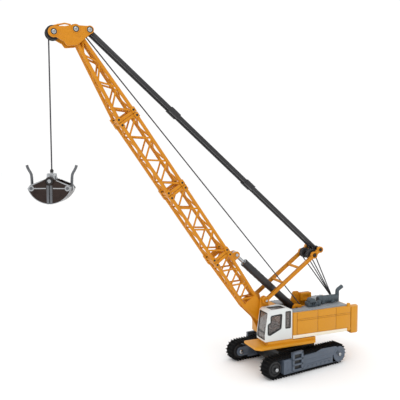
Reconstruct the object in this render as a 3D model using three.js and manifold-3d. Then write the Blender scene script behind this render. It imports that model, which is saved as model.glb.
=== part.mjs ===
import * as THREE from 'three';
import { mergeVertices } from 'three/addons/utils/BufferGeometryUtils.js';
import Module from 'manifold-3d';

// Toy crawler crane with a lattice boom and a clamshell grab, in millimetres.
// +X runs forward along the boom, +Y to the cab side, +Z up. The origin is the centre of the
// carbody's flat underside, on the slew axis. Heights below are measured from the ground.

const wasm = await Module();
wasm.setup();

const deg = Math.PI / 180;
const gap = 0.3;                    // clearance kept between neighbouring solids

// crawler
const trackYaw = 8.3 * deg;         // the crawler stands turned from the upper works
const trackOffset = 1.0;            // crawler centre ahead of the slew axis
const bellyHeight = 4.2;            // ground to the carbody's underside
const wheelSpacing = 59.0;
const trackGauge = 41.6;
const beltWidth = 8.4;
const beltThickness = 1.1;
const cleatHeight = 0.75;
const cleatCount = 68;
const wheelRadius = 5.3;
const axleRadius = 1.0;
const axleBoreClearance = 0.2;
const frameHeight = 9.8;
const carbodyLength = 34;
const carbodyTop = 14.0;
const slewRingRadius = 12;
const kingPinRadius = 3.0;

// upper works
const deckBottom = 18.6;
const plateTop = 20.3;
const beamTop = 22.0;
const deckTop = 22.9;
const platformFront = 36.4;
const platformSide = 21.4;
const houseFront = 6.2;
const houseRear = -44.5;
const houseHalfWidth = 18.4;
const houseTop = 41.2;
const houseWall = 1.5;
const roofThickness = 1.3;
const wellRear = -24;               // open well in the roof for the winch and the backstop
const wellLeft = 5.8;
const wellRight = -6.4;
const counterweightLength = 8.6;
const cabLength = 22;
const cabInner = 6.6;
const cabHeight = 22.4;
const cabWall = 1.1;
const glassThickness = 0.5;
const lockerFront = 19.4;
const lockerTop = 31.4;

// boom
const footPivot = { x: 23.8, z: 36.2 };
const boomAngle = 54.92 * deg;      // working angle above level
const boomHalfDepth = 5.84;
const boomHalfWidth = 6.5;
const footHalfWidth = 3.2;
const sectionLength = 57.5;
const chordRadius = 1.2;
const laceRadius = 0.62;
const footPlateReach = 16;
const headSectionEnd = 229;
const headHalfWidth = 2.4;
const pinRadius = 1.4;
const plateThickness = 1.2;
const headPlateInner = 4.0;
const tipPin = { x: 167.6, z: 227.7 };
const deflectorPin = { x: 154.4, z: 230.3 };
const pendantPin = { x: 145.9, z: 230.5 };
const tipSheaveRadius = 4.5;
const tipGrooveRadius = 1.9;
const deflectorRadius = 3.6;
const deflectorGroove = 2.6;
const sheaveWidth = 4.2;

// mast (the A-frame that carries the luffing sheaves)
const mastPivot = { x: 22.9, z: 49.9 };
const mastSheavePin = { x: -17.8, z: 79.5 };
const mastEndPin = { x: -23.0, z: 83.3 };
const mastLegCentre = 8.3;
const mastLegWidth = 2.2;
const mastRingRadius = 2.6;
const mastCrossTubes = [0.374, 0.705];
const crossTubeRadius = 1.0;
const mastSheaveRadius = 3.7;
const mastSheaveCentre = 4.0;
const bracketInner = 4.8;
const bracketThickness = 1.4;

// backstop cylinder
const backstopFoot = { x: -5.0, z: 39.7 };
const lugSetback = 7.9698;         // the backstop's lug, back from the foot section's end
const lugHeight = 5.2384;          // and out from its upper chords
const lugAlong = sectionLength - lugSetback;
const lugOut = boomHalfDepth + lugHeight;
const backstopLug = {
  x: footPivot.x + lugAlong * Math.cos(boomAngle) - lugOut * Math.sin(boomAngle),
  z: footPivot.z + lugAlong * Math.sin(boomAngle) + lugOut * Math.cos(boomAngle),
};
const barrelRadius = 2.9;
const backstopSpan = Math.hypot(backstopLug.z - backstopFoot.z, backstopLug.x - backstopFoot.x);
const rodShows = 8.8598;           // from the barrel's mouth to the lug pin
const barrelLength = backstopSpan - rodShows;
const rodRadius = 1.3;

// pendants, ropes and winches
const pendantCentre = 3.0;
const pendantHeight = 2.5;
const pendantThickness = 1.4;
const ropeRadius = 0.45;
const hoistDrum = { x: -13.4, z: 33.4 };
const luffingDrum = { x: -38.6, z: 31.5 };
const drumCoreRadius = 3.0;
const drumFlangeRadius = 4.4;
const knobRadius = 3.8;
const luffingRopeFoot = { x: -41.0, z: 43.0 };
const luffingUpperShare = 0.55;     // length of each rope part, as a share of the run
const luffingFootShare = 0.2;
const loopClearance = 0.5;          // play in the eyes where a linkage loop is left open

// grab
const grabYaw = -23.1 * deg;        // the grab hangs turned about its rope
const grabPivotHeight = 137.9;
const yokeTop = 142.4;
const socketTop = 145.2;             // the knot that ends the rope
const jawRadius = 14.0;
const jawHalfWidth = 6.0;
const jawRimHeight = 133.5;
const jawWall = 0.9;

const paint = (color, roughness, metalness = 0) =>
  new THREE.MeshStandardMaterial({ color, roughness, metalness });
const yellow = paint('#e2a024', 0.45);
const orange = paint('#d88a1c', 0.5);
const white = paint('#e6e8e6', 0.4);
const glazing = paint('#6e6a68', 0.15);
const paleGrey = paint('#b8bebe', 0.6);
const slate = paint('#3c464c', 0.5);
const darkPlastic = paint('#26272a', 0.6);
const rubber = paint('#1c1c1e', 0.85);
const frameGrey = paint('#6b7884', 0.5);
const graphite = paint('#3a3c40', 0.5);
const ropeBlack = paint('#2a2a2c', 0.9);
const chrome = paint('#d8d8da', 0.15, 1);
const bronzeChrome = paint('#3a302e', 0.3, 0.8);

// ---- solids ----

function toSolid(geometry) {
  const bare = new THREE.BufferGeometry();
  bare.setAttribute('position', geometry.getAttribute('position').clone());
  if (geometry.index) bare.setIndex(geometry.index.clone());
  const merged = mergeVertices(bare, 1e-4);
  return new wasm.Manifold(new wasm.Mesh({
    numProp: 3,
    vertProperties: new Float32Array(merged.getAttribute('position').array),
    triVerts: new Uint32Array(merged.index.array),
  }));
}

function toGeometry(solid) {
  const mesh = solid.getMesh();
  const geometry = new THREE.BufferGeometry();
  geometry.setAttribute('position', new THREE.BufferAttribute(new Float32Array(mesh.vertProperties), 3));
  geometry.setIndex(new THREE.BufferAttribute(new Uint32Array(mesh.triVerts), 1));
  geometry.computeVertexNormals();
  return geometry;
}

function join(solids) {
  return solids.reduce((whole, next) => whole.add(next));
}

function cut(solid, ...tools) {
  return tools.reduce((whole, tool) => whole.subtract(tool), solid);
}

function box(x0, x1, y0, y1, z0, z1) {
  const geometry = new THREE.BoxGeometry(x1 - x0, y1 - y0, z1 - z0);
  geometry.translate((x0 + x1) / 2, (y0 + y1) / 2, (z0 + z1) / 2);
  return toSolid(geometry);
}

function rod(from, to, radius, sides = 8) {
  const a = new THREE.Vector3(...from);
  const b = new THREE.Vector3(...to);
  const along = b.clone().sub(a);
  const geometry = new THREE.CylinderGeometry(radius, radius, along.length(), sides, 1);
  geometry.rotateY(Math.PI / sides);
  const turn = new THREE.Quaternion().setFromUnitVectors(new THREE.Vector3(0, 1, 0), along.normalize());
  geometry.applyQuaternion(turn);
  const middle = a.add(b).multiplyScalar(0.5);
  geometry.translate(middle.x, middle.y, middle.z);
  return toSolid(geometry);
}

// a cylinder across the crane, between two Y values
function crossRod(point, y0, y1, radius, sides = 18) {
  return rod([point.x, y0, point.z], [point.x, y1, point.z], radius, sides);
}

// a turned piece on a Y axis: profile rows are [radius, y]
function turned(point, profile, sides = 24) {
  const points = profile.map(([radius, y]) => new THREE.Vector2(radius, y));
  const geometry = new THREE.LatheGeometry(points, sides);
  geometry.translate(point.x, 0, point.z);
  let solid = toSolid(geometry);
  if (solid.volume() < 0) {
    geometry.index.array.reverse();
    solid = toSolid(geometry);
  }
  return solid;
}

// an outline in X and Z, thick from y0 to y1
function plate(outline, y0, y1, curveSegments = 10) {
  const shape = outline instanceof THREE.Shape ? outline : new THREE.Shape(outline.map(([x, z]) => new THREE.Vector2(x, z)));
  const geometry = new THREE.ExtrudeGeometry(shape, { depth: y1 - y0, bevelEnabled: false, curveSegments });
  geometry.rotateX(Math.PI / 2);
  geometry.translate(0, y1, 0);
  return toSolid(geometry);
}

// an outline in X and Y, thick from z0 to z1
function slab(outline, z0, z1, curveSegments = 10) {
  const shape = outline instanceof THREE.Shape ? outline : new THREE.Shape(outline.map(([x, y]) => new THREE.Vector2(x, y)));
  const geometry = new THREE.ExtrudeGeometry(shape, { depth: z1 - z0, bevelEnabled: false, curveSegments });
  geometry.translate(0, 0, z0);
  return toSolid(geometry);
}

// the outline that wraps round discs, given as [x, z, radius] in anticlockwise order
function wrapped(discs, steps = 8) {
  const points = [];
  discs.forEach(([x, z, radius], i) => {
    const before = discs[(i + discs.length - 1) % discs.length];
    const after = discs[(i + 1) % discs.length];
    const outward = (from, to) => {
      const along = Math.atan2(to[1] - from[1], to[0] - from[0]);
      const distance = Math.hypot(to[0] - from[0], to[1] - from[1]);
      return along - Math.acos((from[2] - to[2]) / distance);
    };
    const start = outward(before, [x, z, radius]);
    let end = outward([x, z, radius], after);
    while (end < start - 1e-9) end += 2 * Math.PI;
    if (radius === 0) {
      points.push([x, z]);
      return;
    }
    for (let k = 0; k <= steps; k += 1) {
      const angle = start + (end - start) * k / steps;
      points.push([x + radius * Math.cos(angle), z + radius * Math.sin(angle)]);
    }
  });
  return points;
}

function tube(path, radius, steps, sides = 8) {
  const section = new THREE.Shape();
  for (let k = 0; k < sides; k += 1) {
    const angle = 2 * Math.PI * k / sides;
    const move = k === 0 ? 'moveTo' : 'lineTo';
    section[move](radius * Math.cos(angle), radius * Math.sin(angle));
  }
  section.closePath();
  const settings = { steps, bevelEnabled: false, extrudePath: path };
  return toSolid(new THREE.ExtrudeGeometry(section, settings));
}

function addPiece(group, name, solid, material) {
  const mesh = new THREE.Mesh(toGeometry(solid), material);
  mesh.name = name;
  group.add(mesh);
}

// ---- crawler ----

const crane = new THREE.Group();
crane.position.z = -bellyHeight;
const crawler = new THREE.Group();
crawler.rotation.z = trackYaw;
crane.add(crawler);

const beltInner = wheelRadius + gap;
const beltOuter = beltInner + beltThickness;
const axleHeight = beltOuter + cleatHeight;
const frontX = trackOffset + wheelSpacing / 2;
const rearX = trackOffset - wheelSpacing / 2;
const beltOutside = trackGauge / 2 + beltWidth / 2;
const beltInside = trackGauge / 2 - beltWidth / 2;
const coverFace = beltOutside + gap + 0.9;

// a point at the given distance along a belt loop of this radius
function loopPoint(radius, distance) {
  const arc = Math.PI * beltOuter;
  const scale = radius / beltOuter;
  const lower = distance;
  if (lower < wheelSpacing) return [rearX + lower, axleHeight - radius];
  if (lower < wheelSpacing + arc) {
    const angle = -Math.PI / 2 + (lower - wheelSpacing) / beltOuter;
    return [frontX + beltOuter * scale * Math.cos(angle), axleHeight + radius * Math.sin(angle)];
  }
  if (lower < 2 * wheelSpacing + arc) return [frontX - (lower - wheelSpacing - arc), axleHeight + radius];
  const angle = Math.PI / 2 + (lower - 2 * wheelSpacing - arc) / beltOuter;
  return [rearX + radius * Math.cos(angle), axleHeight + radius * Math.sin(angle)];
}

function beltSolid(y0, y1) {
  const length = 2 * wheelSpacing + 2 * Math.PI * beltOuter;
  const pitch = length / cleatCount;
  const outline = [];
  for (let k = 0; k < cleatCount; k += 1) {
    const start = k * pitch;
    outline.push(loopPoint(beltOuter, start));
    outline.push(loopPoint(beltOuter + cleatHeight, start + 0.15 * pitch));
    outline.push(loopPoint(beltOuter + cleatHeight, start + 0.5 * pitch));
    outline.push(loopPoint(beltOuter, start + 0.65 * pitch));
  }
  const inner = wrapped([[rearX, axleHeight, beltInner], [frontX, axleHeight, beltInner]], 20);
  return cut(plate(outline, y0, y1), plate(inner, y0 - 1, y1 + 1));
}

function frameSolid(side) {
  const low = axleHeight - frameHeight / 2;
  const high = axleHeight + frameHeight / 2;
  const beamRear = rearX + wheelRadius + 1.2;
  const beamFront = frontX - wheelRadius - 1.6;
  const innerFace = beltInside - gap;
  const beam = box(beamRear, beamFront, innerFace - 0.9, coverFace, low, high);
  const hubRadius = 3.2;
  const innerPlate = plate(
    wrapped([[rearX, axleHeight, hubRadius], [frontX, axleHeight, hubRadius]]), innerFace - 0.9, innerFace);
  const cover = plate([
    [rearX - 0.5, axleHeight - 5.2], [beamFront - 3, axleHeight - 4.2], [beamFront, axleHeight - 3.6],
    [beamFront, axleHeight + 4.4], [beamRear + 16, axleHeight + 5.4], [beamRear + 11, axleHeight + 6.8],
    [rearX + 2, axleHeight + 6.2],
  ], beltOutside + gap, coverFace);
  const rearDisc = crossRod({ x: rearX, z: axleHeight }, beltOutside + gap, coverFace, 5.6);
  const stepLow = 4.0;
  const stepHigh = 17.0;
  const stepRear = trackOffset + 6.6;
  const stepFront = stepRear + 9.4;
  let step = box(stepRear, stepFront, beltOutside + gap, coverFace + 1.1, stepLow, stepHigh);
  for (const height of [6.2, 10.0, 13.7]) {
    step = cut(step, box(stepRear + 1.6, stepFront - 1.6, coverFace + 0.2, coverFace + 2, height - 1.15, height + 1.15));
  }
  let frame = join([beam, innerPlate, cover, rearDisc, step]);
  for (const x of [rearX, frontX]) {
    frame = cut(frame, crossRod({ x, z: axleHeight }, 0, coverFace + 3, axleRadius + axleBoreClearance));
  }
  return side > 0 ? frame : frame.mirror([0, 1, 0]);
}

function wheelSolid(side) {
  const inner = beltInside + 0.4;
  const outer = beltOutside - 0.3;
  const bore = axleRadius + axleBoreClearance;
  const profile = [
    [bore, inner], [wheelRadius - 0.5, inner], [wheelRadius, inner + 0.5], [wheelRadius, outer - 0.6],
    [wheelRadius - 0.6, outer - 0.1], [4.1, outer - 0.1], [3.9, outer - 1.0], [3.3, outer - 1.0],
    [3.1, outer + 0.2], [bore, outer + 0.2], [bore, inner],
  ];
  return turned({ x: 0, z: 0 }, profile.map(([radius, y]) => [radius, side * y]), 20);
}

const carbodyEnd = beltInside - gap - 0.9 - gap;
const carbodyHalf = carbodyLength / 2;
const carbody = join([
  box(trackOffset - carbodyHalf, trackOffset + carbodyHalf, -13, 13, bellyHeight, carbodyTop),
  ...[-1, 1].map((end) => box(
    trackOffset + end * 13 - 4, trackOffset + end * 13 + 4, -carbodyEnd, carbodyEnd, bellyHeight + 1.2, carbodyTop - 2)),
]);
addPiece(crawler, 'carbody', carbody, darkPlastic);

const ringTop = carbodyTop + gap + 1.9;
const slewRing = turned({ x: 0, z: 0 }, [
  [0, carbodyTop + gap], [slewRingRadius, carbodyTop + gap], [slewRingRadius, ringTop],
  [kingPinRadius, ringTop], [kingPinRadius, deckBottom + 2], [0, deckBottom + 2],
], 40).rotate([90, 0, 0]);
addPiece(crane, 'slew_ring', slewRing, darkPlastic);

for (const [sideName, side] of [['left', 1], ['right', -1]]) {
  const edges = [side * beltInside, side * beltOutside].sort((a, b) => a - b);
  addPiece(crawler, `${sideName}_track_frame`, frameSolid(side), frameGrey);
  addPiece(crawler, `${sideName}_track_belt`, beltSolid(edges[0], edges[1]), rubber);
  for (const [wheelName, x] of [['idler', frontX], ['sprocket', rearX]]) {
    const wheel = wheelSolid(side).translate([x, 0, axleHeight]);
    addPiece(crawler, `${sideName}_${wheelName}`, wheel, darkPlastic);
  }
}
const capStart = coverFace + gap;
const innerCap = beltInside - 2 * gap - 0.9;
for (const [sideName, side] of [['left', 1], ['right', -1]]) {
  for (const [endName, x] of [['front', frontX], ['rear', rearX]]) {
    const profile = [
      [0, innerCap - 0.8], [1.2, innerCap - 0.8], [1.6, innerCap - 0.4], [1.6, innerCap], [axleRadius, innerCap],
      [axleRadius, capStart], [1.7, capStart], [1.7, capStart + 0.5], [1.2, capStart + 0.9], [0, capStart + 0.9],
    ];
    const axle = turned({ x, z: axleHeight }, side > 0 ? profile : profile.map(([r, y]) => [r, -y]).reverse(), 20);
    addPiece(crawler, `${sideName}_${endName}_axle`, axle, chrome);
  }
}

// ---- house ----

const platformChamfer = 3.1;
const blockFront = 26.4;
const beamHalf = 8.5;
const plateOutline = [
  [platformFront, 1.8], [platformFront, platformSide - platformChamfer],
  [platformFront - platformChamfer, platformSide], [houseFront - 17, platformSide],
  [houseFront - 19.4, platformSide - 3.4], [houseFront - 20, 12.8 - houseHalfWidth],
  [houseFront - 18, 0.2 - houseHalfWidth], [13, 0.2 - houseHalfWidth], [19.4, -7.4], [21.2, -6.8], [23.6, 1.8],
];
const blockOutline = [
  [blockFront, cabInner - 0.4], [blockFront, houseHalfWidth], [houseFront + 0.3, houseHalfWidth],
  [houseFront + 0.3, -6.8], [20.8, -6.8], [20.8, cabInner - 0.4],
];
const turntable = crossUp(0, 0, slewRingRadius + 0.5, ringTop + gap, deckBottom + 0.5, 40);
const kingPinBore = crossUp(0, 0, kingPinRadius + gap, 0, deckBottom + 2 + gap, 24);
const deckSolid = join([
  slab(plateOutline.reverse(), deckBottom, plateTop),
  slab(blockOutline, plateTop - 0.5, deckTop),
  box(houseFront - 19.4, houseFront + 0.4, 1.2 - houseHalfWidth, houseHalfWidth, plateTop - 0.5, beamTop),
  box(houseRear + 0.3, houseFront - 10, -beamHalf, beamHalf, deckBottom + 0.8, beamTop),
  turntable,
]);
addPiece(crane, 'deck', cut(deckSolid, kingPinBore), yellow);

function crossUp(x, y, radius, z0, z1, sides) {
  return rod([x, y, z0], [x, y, z1], radius, sides);
}

const tubBottom = beamTop + gap;
const tubFloor = tubBottom + 1.4;
const wellCentre = (wellLeft + wellRight) / 2;
const barrelSlot = barrelRadius + 1.1;
const drumBore = 1.6;
const houseBody = cut(
  box(houseRear, houseFront, -houseHalfWidth, houseHalfWidth, tubBottom, houseTop),
  box(houseRear + houseWall, houseFront - houseWall, houseWall - houseHalfWidth, houseHalfWidth - houseWall, tubFloor, houseTop + 1),
  box(houseFront - 3, houseFront + 1, -barrelSlot, barrelSlot, houseTop - 5, houseTop + 1),
  crossRod(hoistDrum, -houseHalfWidth - 1, 0, drumBore),
  crossRod(luffingDrum, -houseHalfWidth - 1, 0, drumBore),
);
addPiece(crane, 'house_body', houseBody, yellow);

const roofEdge = houseHalfWidth - houseWall - gap;
const roofTop = houseTop + 0.6;
const ropeSlot = 2.4;
const roofDeck = cut(
  box(houseRear + houseWall + gap, houseFront - houseWall - gap, -roofEdge, roofEdge, roofTop - roofThickness, roofTop),
  box(wellRear, houseFront + 1, wellRight, wellLeft, 0, 60),
  box(-9.5, houseFront + 1, 0, wellLeft + 3, 0, 60),
  box(luffingRopeFoot.x - 1.6, luffingRopeFoot.x + 5, -ropeSlot, ropeSlot, 0, 60),
);
addPiece(crane, 'roof_deck', roofDeck, paleGrey);

const weightFront = houseRear - gap;
const weightRear = weightFront - counterweightLength;
const weightCorner = 5;
const weightSide = houseHalfWidth - 0.2;
const weightOutline = new THREE.Shape();
weightOutline.moveTo(weightFront, -weightSide);
weightOutline.lineTo(weightFront, weightSide);
weightOutline.lineTo(weightRear + weightCorner, weightSide);
weightOutline.absarc(weightRear + weightCorner, weightSide - weightCorner, weightCorner, Math.PI / 2, Math.PI, false);
weightOutline.absarc(weightRear + weightCorner, weightCorner - weightSide, weightCorner, Math.PI, 1.5 * Math.PI, false);
weightOutline.closePath();
const weight = cut(
  slab(weightOutline, deckBottom + 1.6, houseTop - 0.9, 6),
  box(weightRear - 1, weightFront + 1, -12.6, 12.6, houseTop - 5, houseTop + 1),
);
addPiece(crane, 'counterweight', weight, yellow);

const cabRear = houseFront + 0.6;
const cabFront = cabRear + cabLength;
const cabOuter = houseHalfWidth;
const cabBottom = deckTop + gap;
const cabTop = cabBottom + cabHeight;
const windscreenLean = 2.2;

// the cab's outline, set in by a margin on every side but the open underside
function cabBlock(margin, floor) {
  const side = plate([
    [cabRear + margin, floor], [cabFront - margin, floor], [cabFront - margin, cabBottom + 4.5],
    [cabFront - windscreenLean - margin, cabTop - 1.9 - margin], [cabFront - windscreenLean - 1.6 - margin, cabTop - 0.6 - margin],
    [cabRear + 6, cabTop - margin], [cabRear + margin, cabTop - 1.4 - margin],
  ], cabInner + margin, cabOuter - margin);
  const middle = (cabInner + cabOuter) / 2;
  const half = (cabOuter - cabInner) / 2 - margin;
  const front = new THREE.Shape([
    [-half, floor], [half, floor], [half, cabTop - 2.4 - margin], [half - 1.6, cabTop - margin],
    [1.6 - half, cabTop - margin], [-half, cabTop - 1.6 - margin],
  ].map(([y, z]) => new THREE.Vector2(y, z)));
  const geometry = new THREE.ExtrudeGeometry(front, { depth: cabLength + 4, bevelEnabled: false });
  geometry.rotateX(Math.PI / 2);
  geometry.rotateZ(Math.PI / 2);
  geometry.translate(cabRear - 2, middle, 0);
  return side.intersect(toSolid(geometry));
}

const pillar = 1.3;
const sillHeight = cabBottom + 6.0;
const headHeight = cabTop - 3.0;
let cabShell = cut(cabBlock(0, cabBottom), cabBlock(cabWall, cabBottom - 1));
const windowOuter = cabOuter + 1;
const windowDeep = cabOuter - cabWall - 0.6;
cabShell = cut(
  cabShell,
  box(cabFront - 5, cabFront + 1, cabInner + pillar, cabOuter - pillar, sillHeight, headHeight),
  box(cabFront - 3, cabFront + 1, cabInner + pillar, cabOuter - pillar, cabBottom + 1.6, sillHeight - 0.9),
  plate([
    [cabFront - 2.2, cabBottom + 6.6], [cabFront - 3.9, cabBottom + 4.6], [cabFront - 11.6, cabBottom + 7.2],
    [cabFront - 13.1, headHeight + 0.2], [cabFront - 4.8, headHeight], [cabFront - 2.6, cabBottom + 12.6],
  ].reverse(), windowDeep, windowOuter),
  box(cabRear + 1.2, cabRear + 5.6, windowDeep, windowOuter, cabBottom + 7.6, headHeight + 0.8),
  box(cabRear + 1.6, cabFront - 7, cabInner - 1, cabInner + cabWall + 0.6, sillHeight + 3, headHeight),
  box(cabRear + 5, cabFront - 6, cabInner + 2.6, cabOuter - 3.6, cabTop - 3, cabTop + 1),
  box(cabRear - 1, cabRear + 3, cabInner + 2, cabOuter - 2, cabBottom + 12, headHeight),
);
addPiece(crane, 'cab_shell', cabShell, white);
const glassMargin = cabWall + gap;
const cabGlass = cut(cabBlock(glassMargin, cabBottom + 0.4), cabBlock(glassMargin + glassThickness, cabBottom - 1));
addPiece(crane, 'cab_glazing', cabGlass, glazing);

const lockerLow = plateTop + gap;
const locker = cut(
  box(houseFront + 0.6, lockerFront, 0.2 - houseHalfWidth, -cabInner - 0.8, lockerLow, lockerTop),
  box(houseFront - 2, lockerFront - 1.2, 1.4 - houseHalfWidth, -cabInner - 2.0, lockerLow - 2, lockerTop - 1.2),
);
addPiece(crane, 'front_locker', locker, yellow);

// twin cheeks on one base that hold the boom foot and the mast
const footPinRadius = 1.5;
const bracketLow = deckTop + gap;
const bracketRear = footPivot.x - 11;
const bracketFront = footPivot.x - 3.4;
const bracketOuter = bracketInner + bracketThickness;
const cheekOutline = wrapped([
  [bracketRear, bracketLow, 0], [bracketFront, bracketLow, 0], [footPivot.x + 0.5, footPivot.z, 3.0],
  [mastPivot.x, mastPivot.z, mastRingRadius],
]);
const bracketPieces = [box(bracketRear, bracketFront, -bracketOuter, bracketOuter, bracketLow, bracketLow + 1.4)];
for (const side of [-1, 1]) {
  const stubEnd = mastLegCentre + mastLegWidth / 2 + 0.9;
  const span = (inner, outer) => [side * inner, side * outer].sort((a, b) => a - b);
  bracketPieces.push(plate(cheekOutline, ...span(bracketInner, bracketOuter)));
  bracketPieces.push(crossRod(mastPivot, ...span(bracketInner, stubEnd), 1.3, 20));
}
addPiece(crane, 'mast_bracket', cut(join(bracketPieces), crossRod(footPivot, -20, 20, footPinRadius + 0.1)), orange);
const footPinEnd = bracketOuter + 0.2;
addPiece(crane, 'boom_foot_pin', crossRod(footPivot, -footPinEnd, footPinEnd, footPinRadius - 0.05), chrome);

// engine details on the roof
const mufflerRadius = 2.7;
const mufflerHeight = roofTop + gap + mufflerRadius;
const mufflerSide = 5.4;
const exhaustFoot = houseRear + 3.2;
const exhaustBend = new THREE.CurvePath();
exhaustBend.add(new THREE.LineCurve3(
  new THREE.Vector3(exhaustFoot, mufflerSide, roofTop + gap), new THREE.Vector3(exhaustFoot, mufflerSide, 48.6)));
exhaustBend.add(new THREE.QuadraticBezierCurve3(
  new THREE.Vector3(exhaustFoot, mufflerSide, 48.6), new THREE.Vector3(exhaustFoot, mufflerSide, 50.4),
  new THREE.Vector3(exhaustFoot - 1.6, mufflerSide, 51.4)));
exhaustBend.add(new THREE.LineCurve3(
  new THREE.Vector3(exhaustFoot - 1.6, mufflerSide, 51.4), new THREE.Vector3(exhaustFoot - 4.6, mufflerSide, 53.2)));
const cleanerLow = roofTop + gap;
const potSide = wellLeft + 3.6;
const engineUnit = join([
  rod([-23.5, mufflerSide, mufflerHeight], [exhaustFoot, mufflerSide, mufflerHeight], mufflerRadius, 20),
  box(-28.5, -25.5, mufflerSide - 3, mufflerSide + 3, roofTop + gap, mufflerHeight + 0.8),
  box(-37, -34, mufflerSide - 3, mufflerSide + 3, roofTop + gap, mufflerHeight + 0.8),
  tube(exhaustBend, 1.45, 12, 12),
  rod([-25.5, mufflerSide, mufflerHeight - 0.6], [-21.8, potSide, cleanerLow + 1.7], 1.2, 12),
  box(-19.5, -11.5, wellLeft + 0.6, wellLeft + 5.6, cleanerLow, cleanerLow + 3.2),
  rod([-15.5, wellLeft + 0.6, cleanerLow + 3.2], [-15.5, wellLeft + 5.6, cleanerLow + 3.2], 2.6, 18),
  rod([-21.8, potSide, cleanerLow], [-21.8, potSide, cleanerLow + 3.4], 1.7, 14),
  box(-21.8, -18, wellLeft + 2.6, wellLeft + 4.6, cleanerLow, cleanerLow + 2),
]);
addPiece(crane, 'engine_unit', engineUnit, slate);

// winch frame: two cheeks that carry the hoist drum and the backstop's foot
const cheekInner = 4.1;
const cheekThickness = 1.2;
const cheekOuter = cheekInner + cheekThickness;
const frameFloor = tubFloor + gap;
const lowCheek = wrapped([
  [-20, frameFloor, 0], [-1.5, frameFloor, 0], [backstopFoot.x, backstopFoot.z + 0.6, 3.0], [-19, 38.5, 1],
]);
const tallCheek = [
  [-22.6, frameFloor], [-1.5, frameFloor], [-1.8, 42.5], [-6.4, 43.6], [-8.2, 50.2], [-12.2, 50.2], [-13.6, 48.9],
  [-22.6, 48.9],
];
const winchFrame = cut(
  join([
    box(-20, -1.5, -cheekOuter, cheekOuter, frameFloor, frameFloor + 1.2),
    plate(lowCheek, cheekInner, cheekOuter),
    plate(tallCheek, -cheekOuter, -cheekInner),
    box(-22.6, -13.6, -cheekOuter, -1.7, 43.2, 48.9),
  ]),
  crossRod(backstopFoot, -10, 10, pinRadius + 0.1),
  crossRod(hoistDrum, -10, 10, drumBore),
);
addPiece(crane, 'winch_frame', winchFrame, orange);
addPiece(crane, 'backstop_pin', crossRod(backstopFoot, -cheekOuter - 0.4, cheekOuter + 0.4, pinRadius - 0.05), chrome);

// a drum on its shaft, with a hand knob outside the right wall
function drumSolid(point, innerEnd) {
  const knobStart = -houseHalfWidth - gap;
  const half = cheekInner - 0.6;
  return turned(point, [
    [0, knobStart - 3.2], [knobRadius - 0.5, knobStart - 3.2], [knobRadius, knobStart - 2.7], [knobRadius, knobStart - 0.6],
    [knobRadius - 0.6, knobStart], [1.2, knobStart], [1.2, -half], [drumFlangeRadius, -half],
    [drumFlangeRadius, -half + 0.8], [drumCoreRadius, -half + 0.8], [drumCoreRadius, half - 0.8],
    [drumFlangeRadius, half - 0.8], [drumFlangeRadius, half], [1.2, half], [1.2, innerEnd], [0, innerEnd],
  ], 18);
}
addPiece(crane, 'hoist_drum', drumSolid(hoistDrum, cheekOuter + 0.4), graphite);
addPiece(crane, 'luffing_drum', drumSolid(luffingDrum, cheekOuter + 0.4), graphite);

// ---- boom ----

// boom pieces are built along +X from the foot pivot and turned up to the working angle
const boom = new THREE.Group();
boom.position.set(footPivot.x, 0, footPivot.z);
boom.rotation.y = -boomAngle;
crane.add(boom);

function onBoom(point) {
  const x = point.x - footPivot.x;
  const z = point.z - footPivot.z;
  return { x: x * Math.cos(boomAngle) + z * Math.sin(boomAngle), z: z * Math.cos(boomAngle) - x * Math.sin(boomAngle) };
}

// four chords, W lacing on all faces and a frame at each end
function lattice(start, end, bays, startFrame = true, endFrame = true) {
  const at = (share, width, height) => {
    const mix = (key) => start[key] + (end[key] - start[key]) * share;
    const z = height > 0 ? mix('high') : mix('low');
    return [mix('x'), width * mix('width'), z];
  };
  const length = end.x - start.x;
  const pieces = [];
  for (const width of [-1, 1]) {
    for (const height of [-1, 1]) pieces.push(rod(at(0, width, height), at(1, width, height), chordRadius, 6));
  }
  const edge = 1.1 / length;
  const half = 2 * bays;
  for (let k = 0; k < half; k += 1) {
    const from = edge + (1 - 2 * edge) * k / half;
    const to = edge + (1 - 2 * edge) * (k + 1) / half;
    const flip = k % 2 === 0 ? 1 : -1;
    for (const side of [-1, 1]) {
      pieces.push(rod(at(from, side, flip), at(to, side, -flip), laceRadius, 4));
      pieces.push(rod(at(from, flip, side), at(to, -flip, side), laceRadius, 4));
    }
  }
  for (const [share, wanted] of [[edge, startFrame], [1 - edge, endFrame]]) {
    if (wanted) {
      const [x, width, high] = at(share, 1, 1);
      const low = at(share, 1, -1)[2];
      const t = 1.05;
      const outer = box(x - t, x + t, -width - t, width + t, low - t, high + t);
      pieces.push(cut(outer, box(x - 2, x + 2, t - width, width - t, low + t, high - t)));
    }
  }
  return join(pieces);
}

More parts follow.
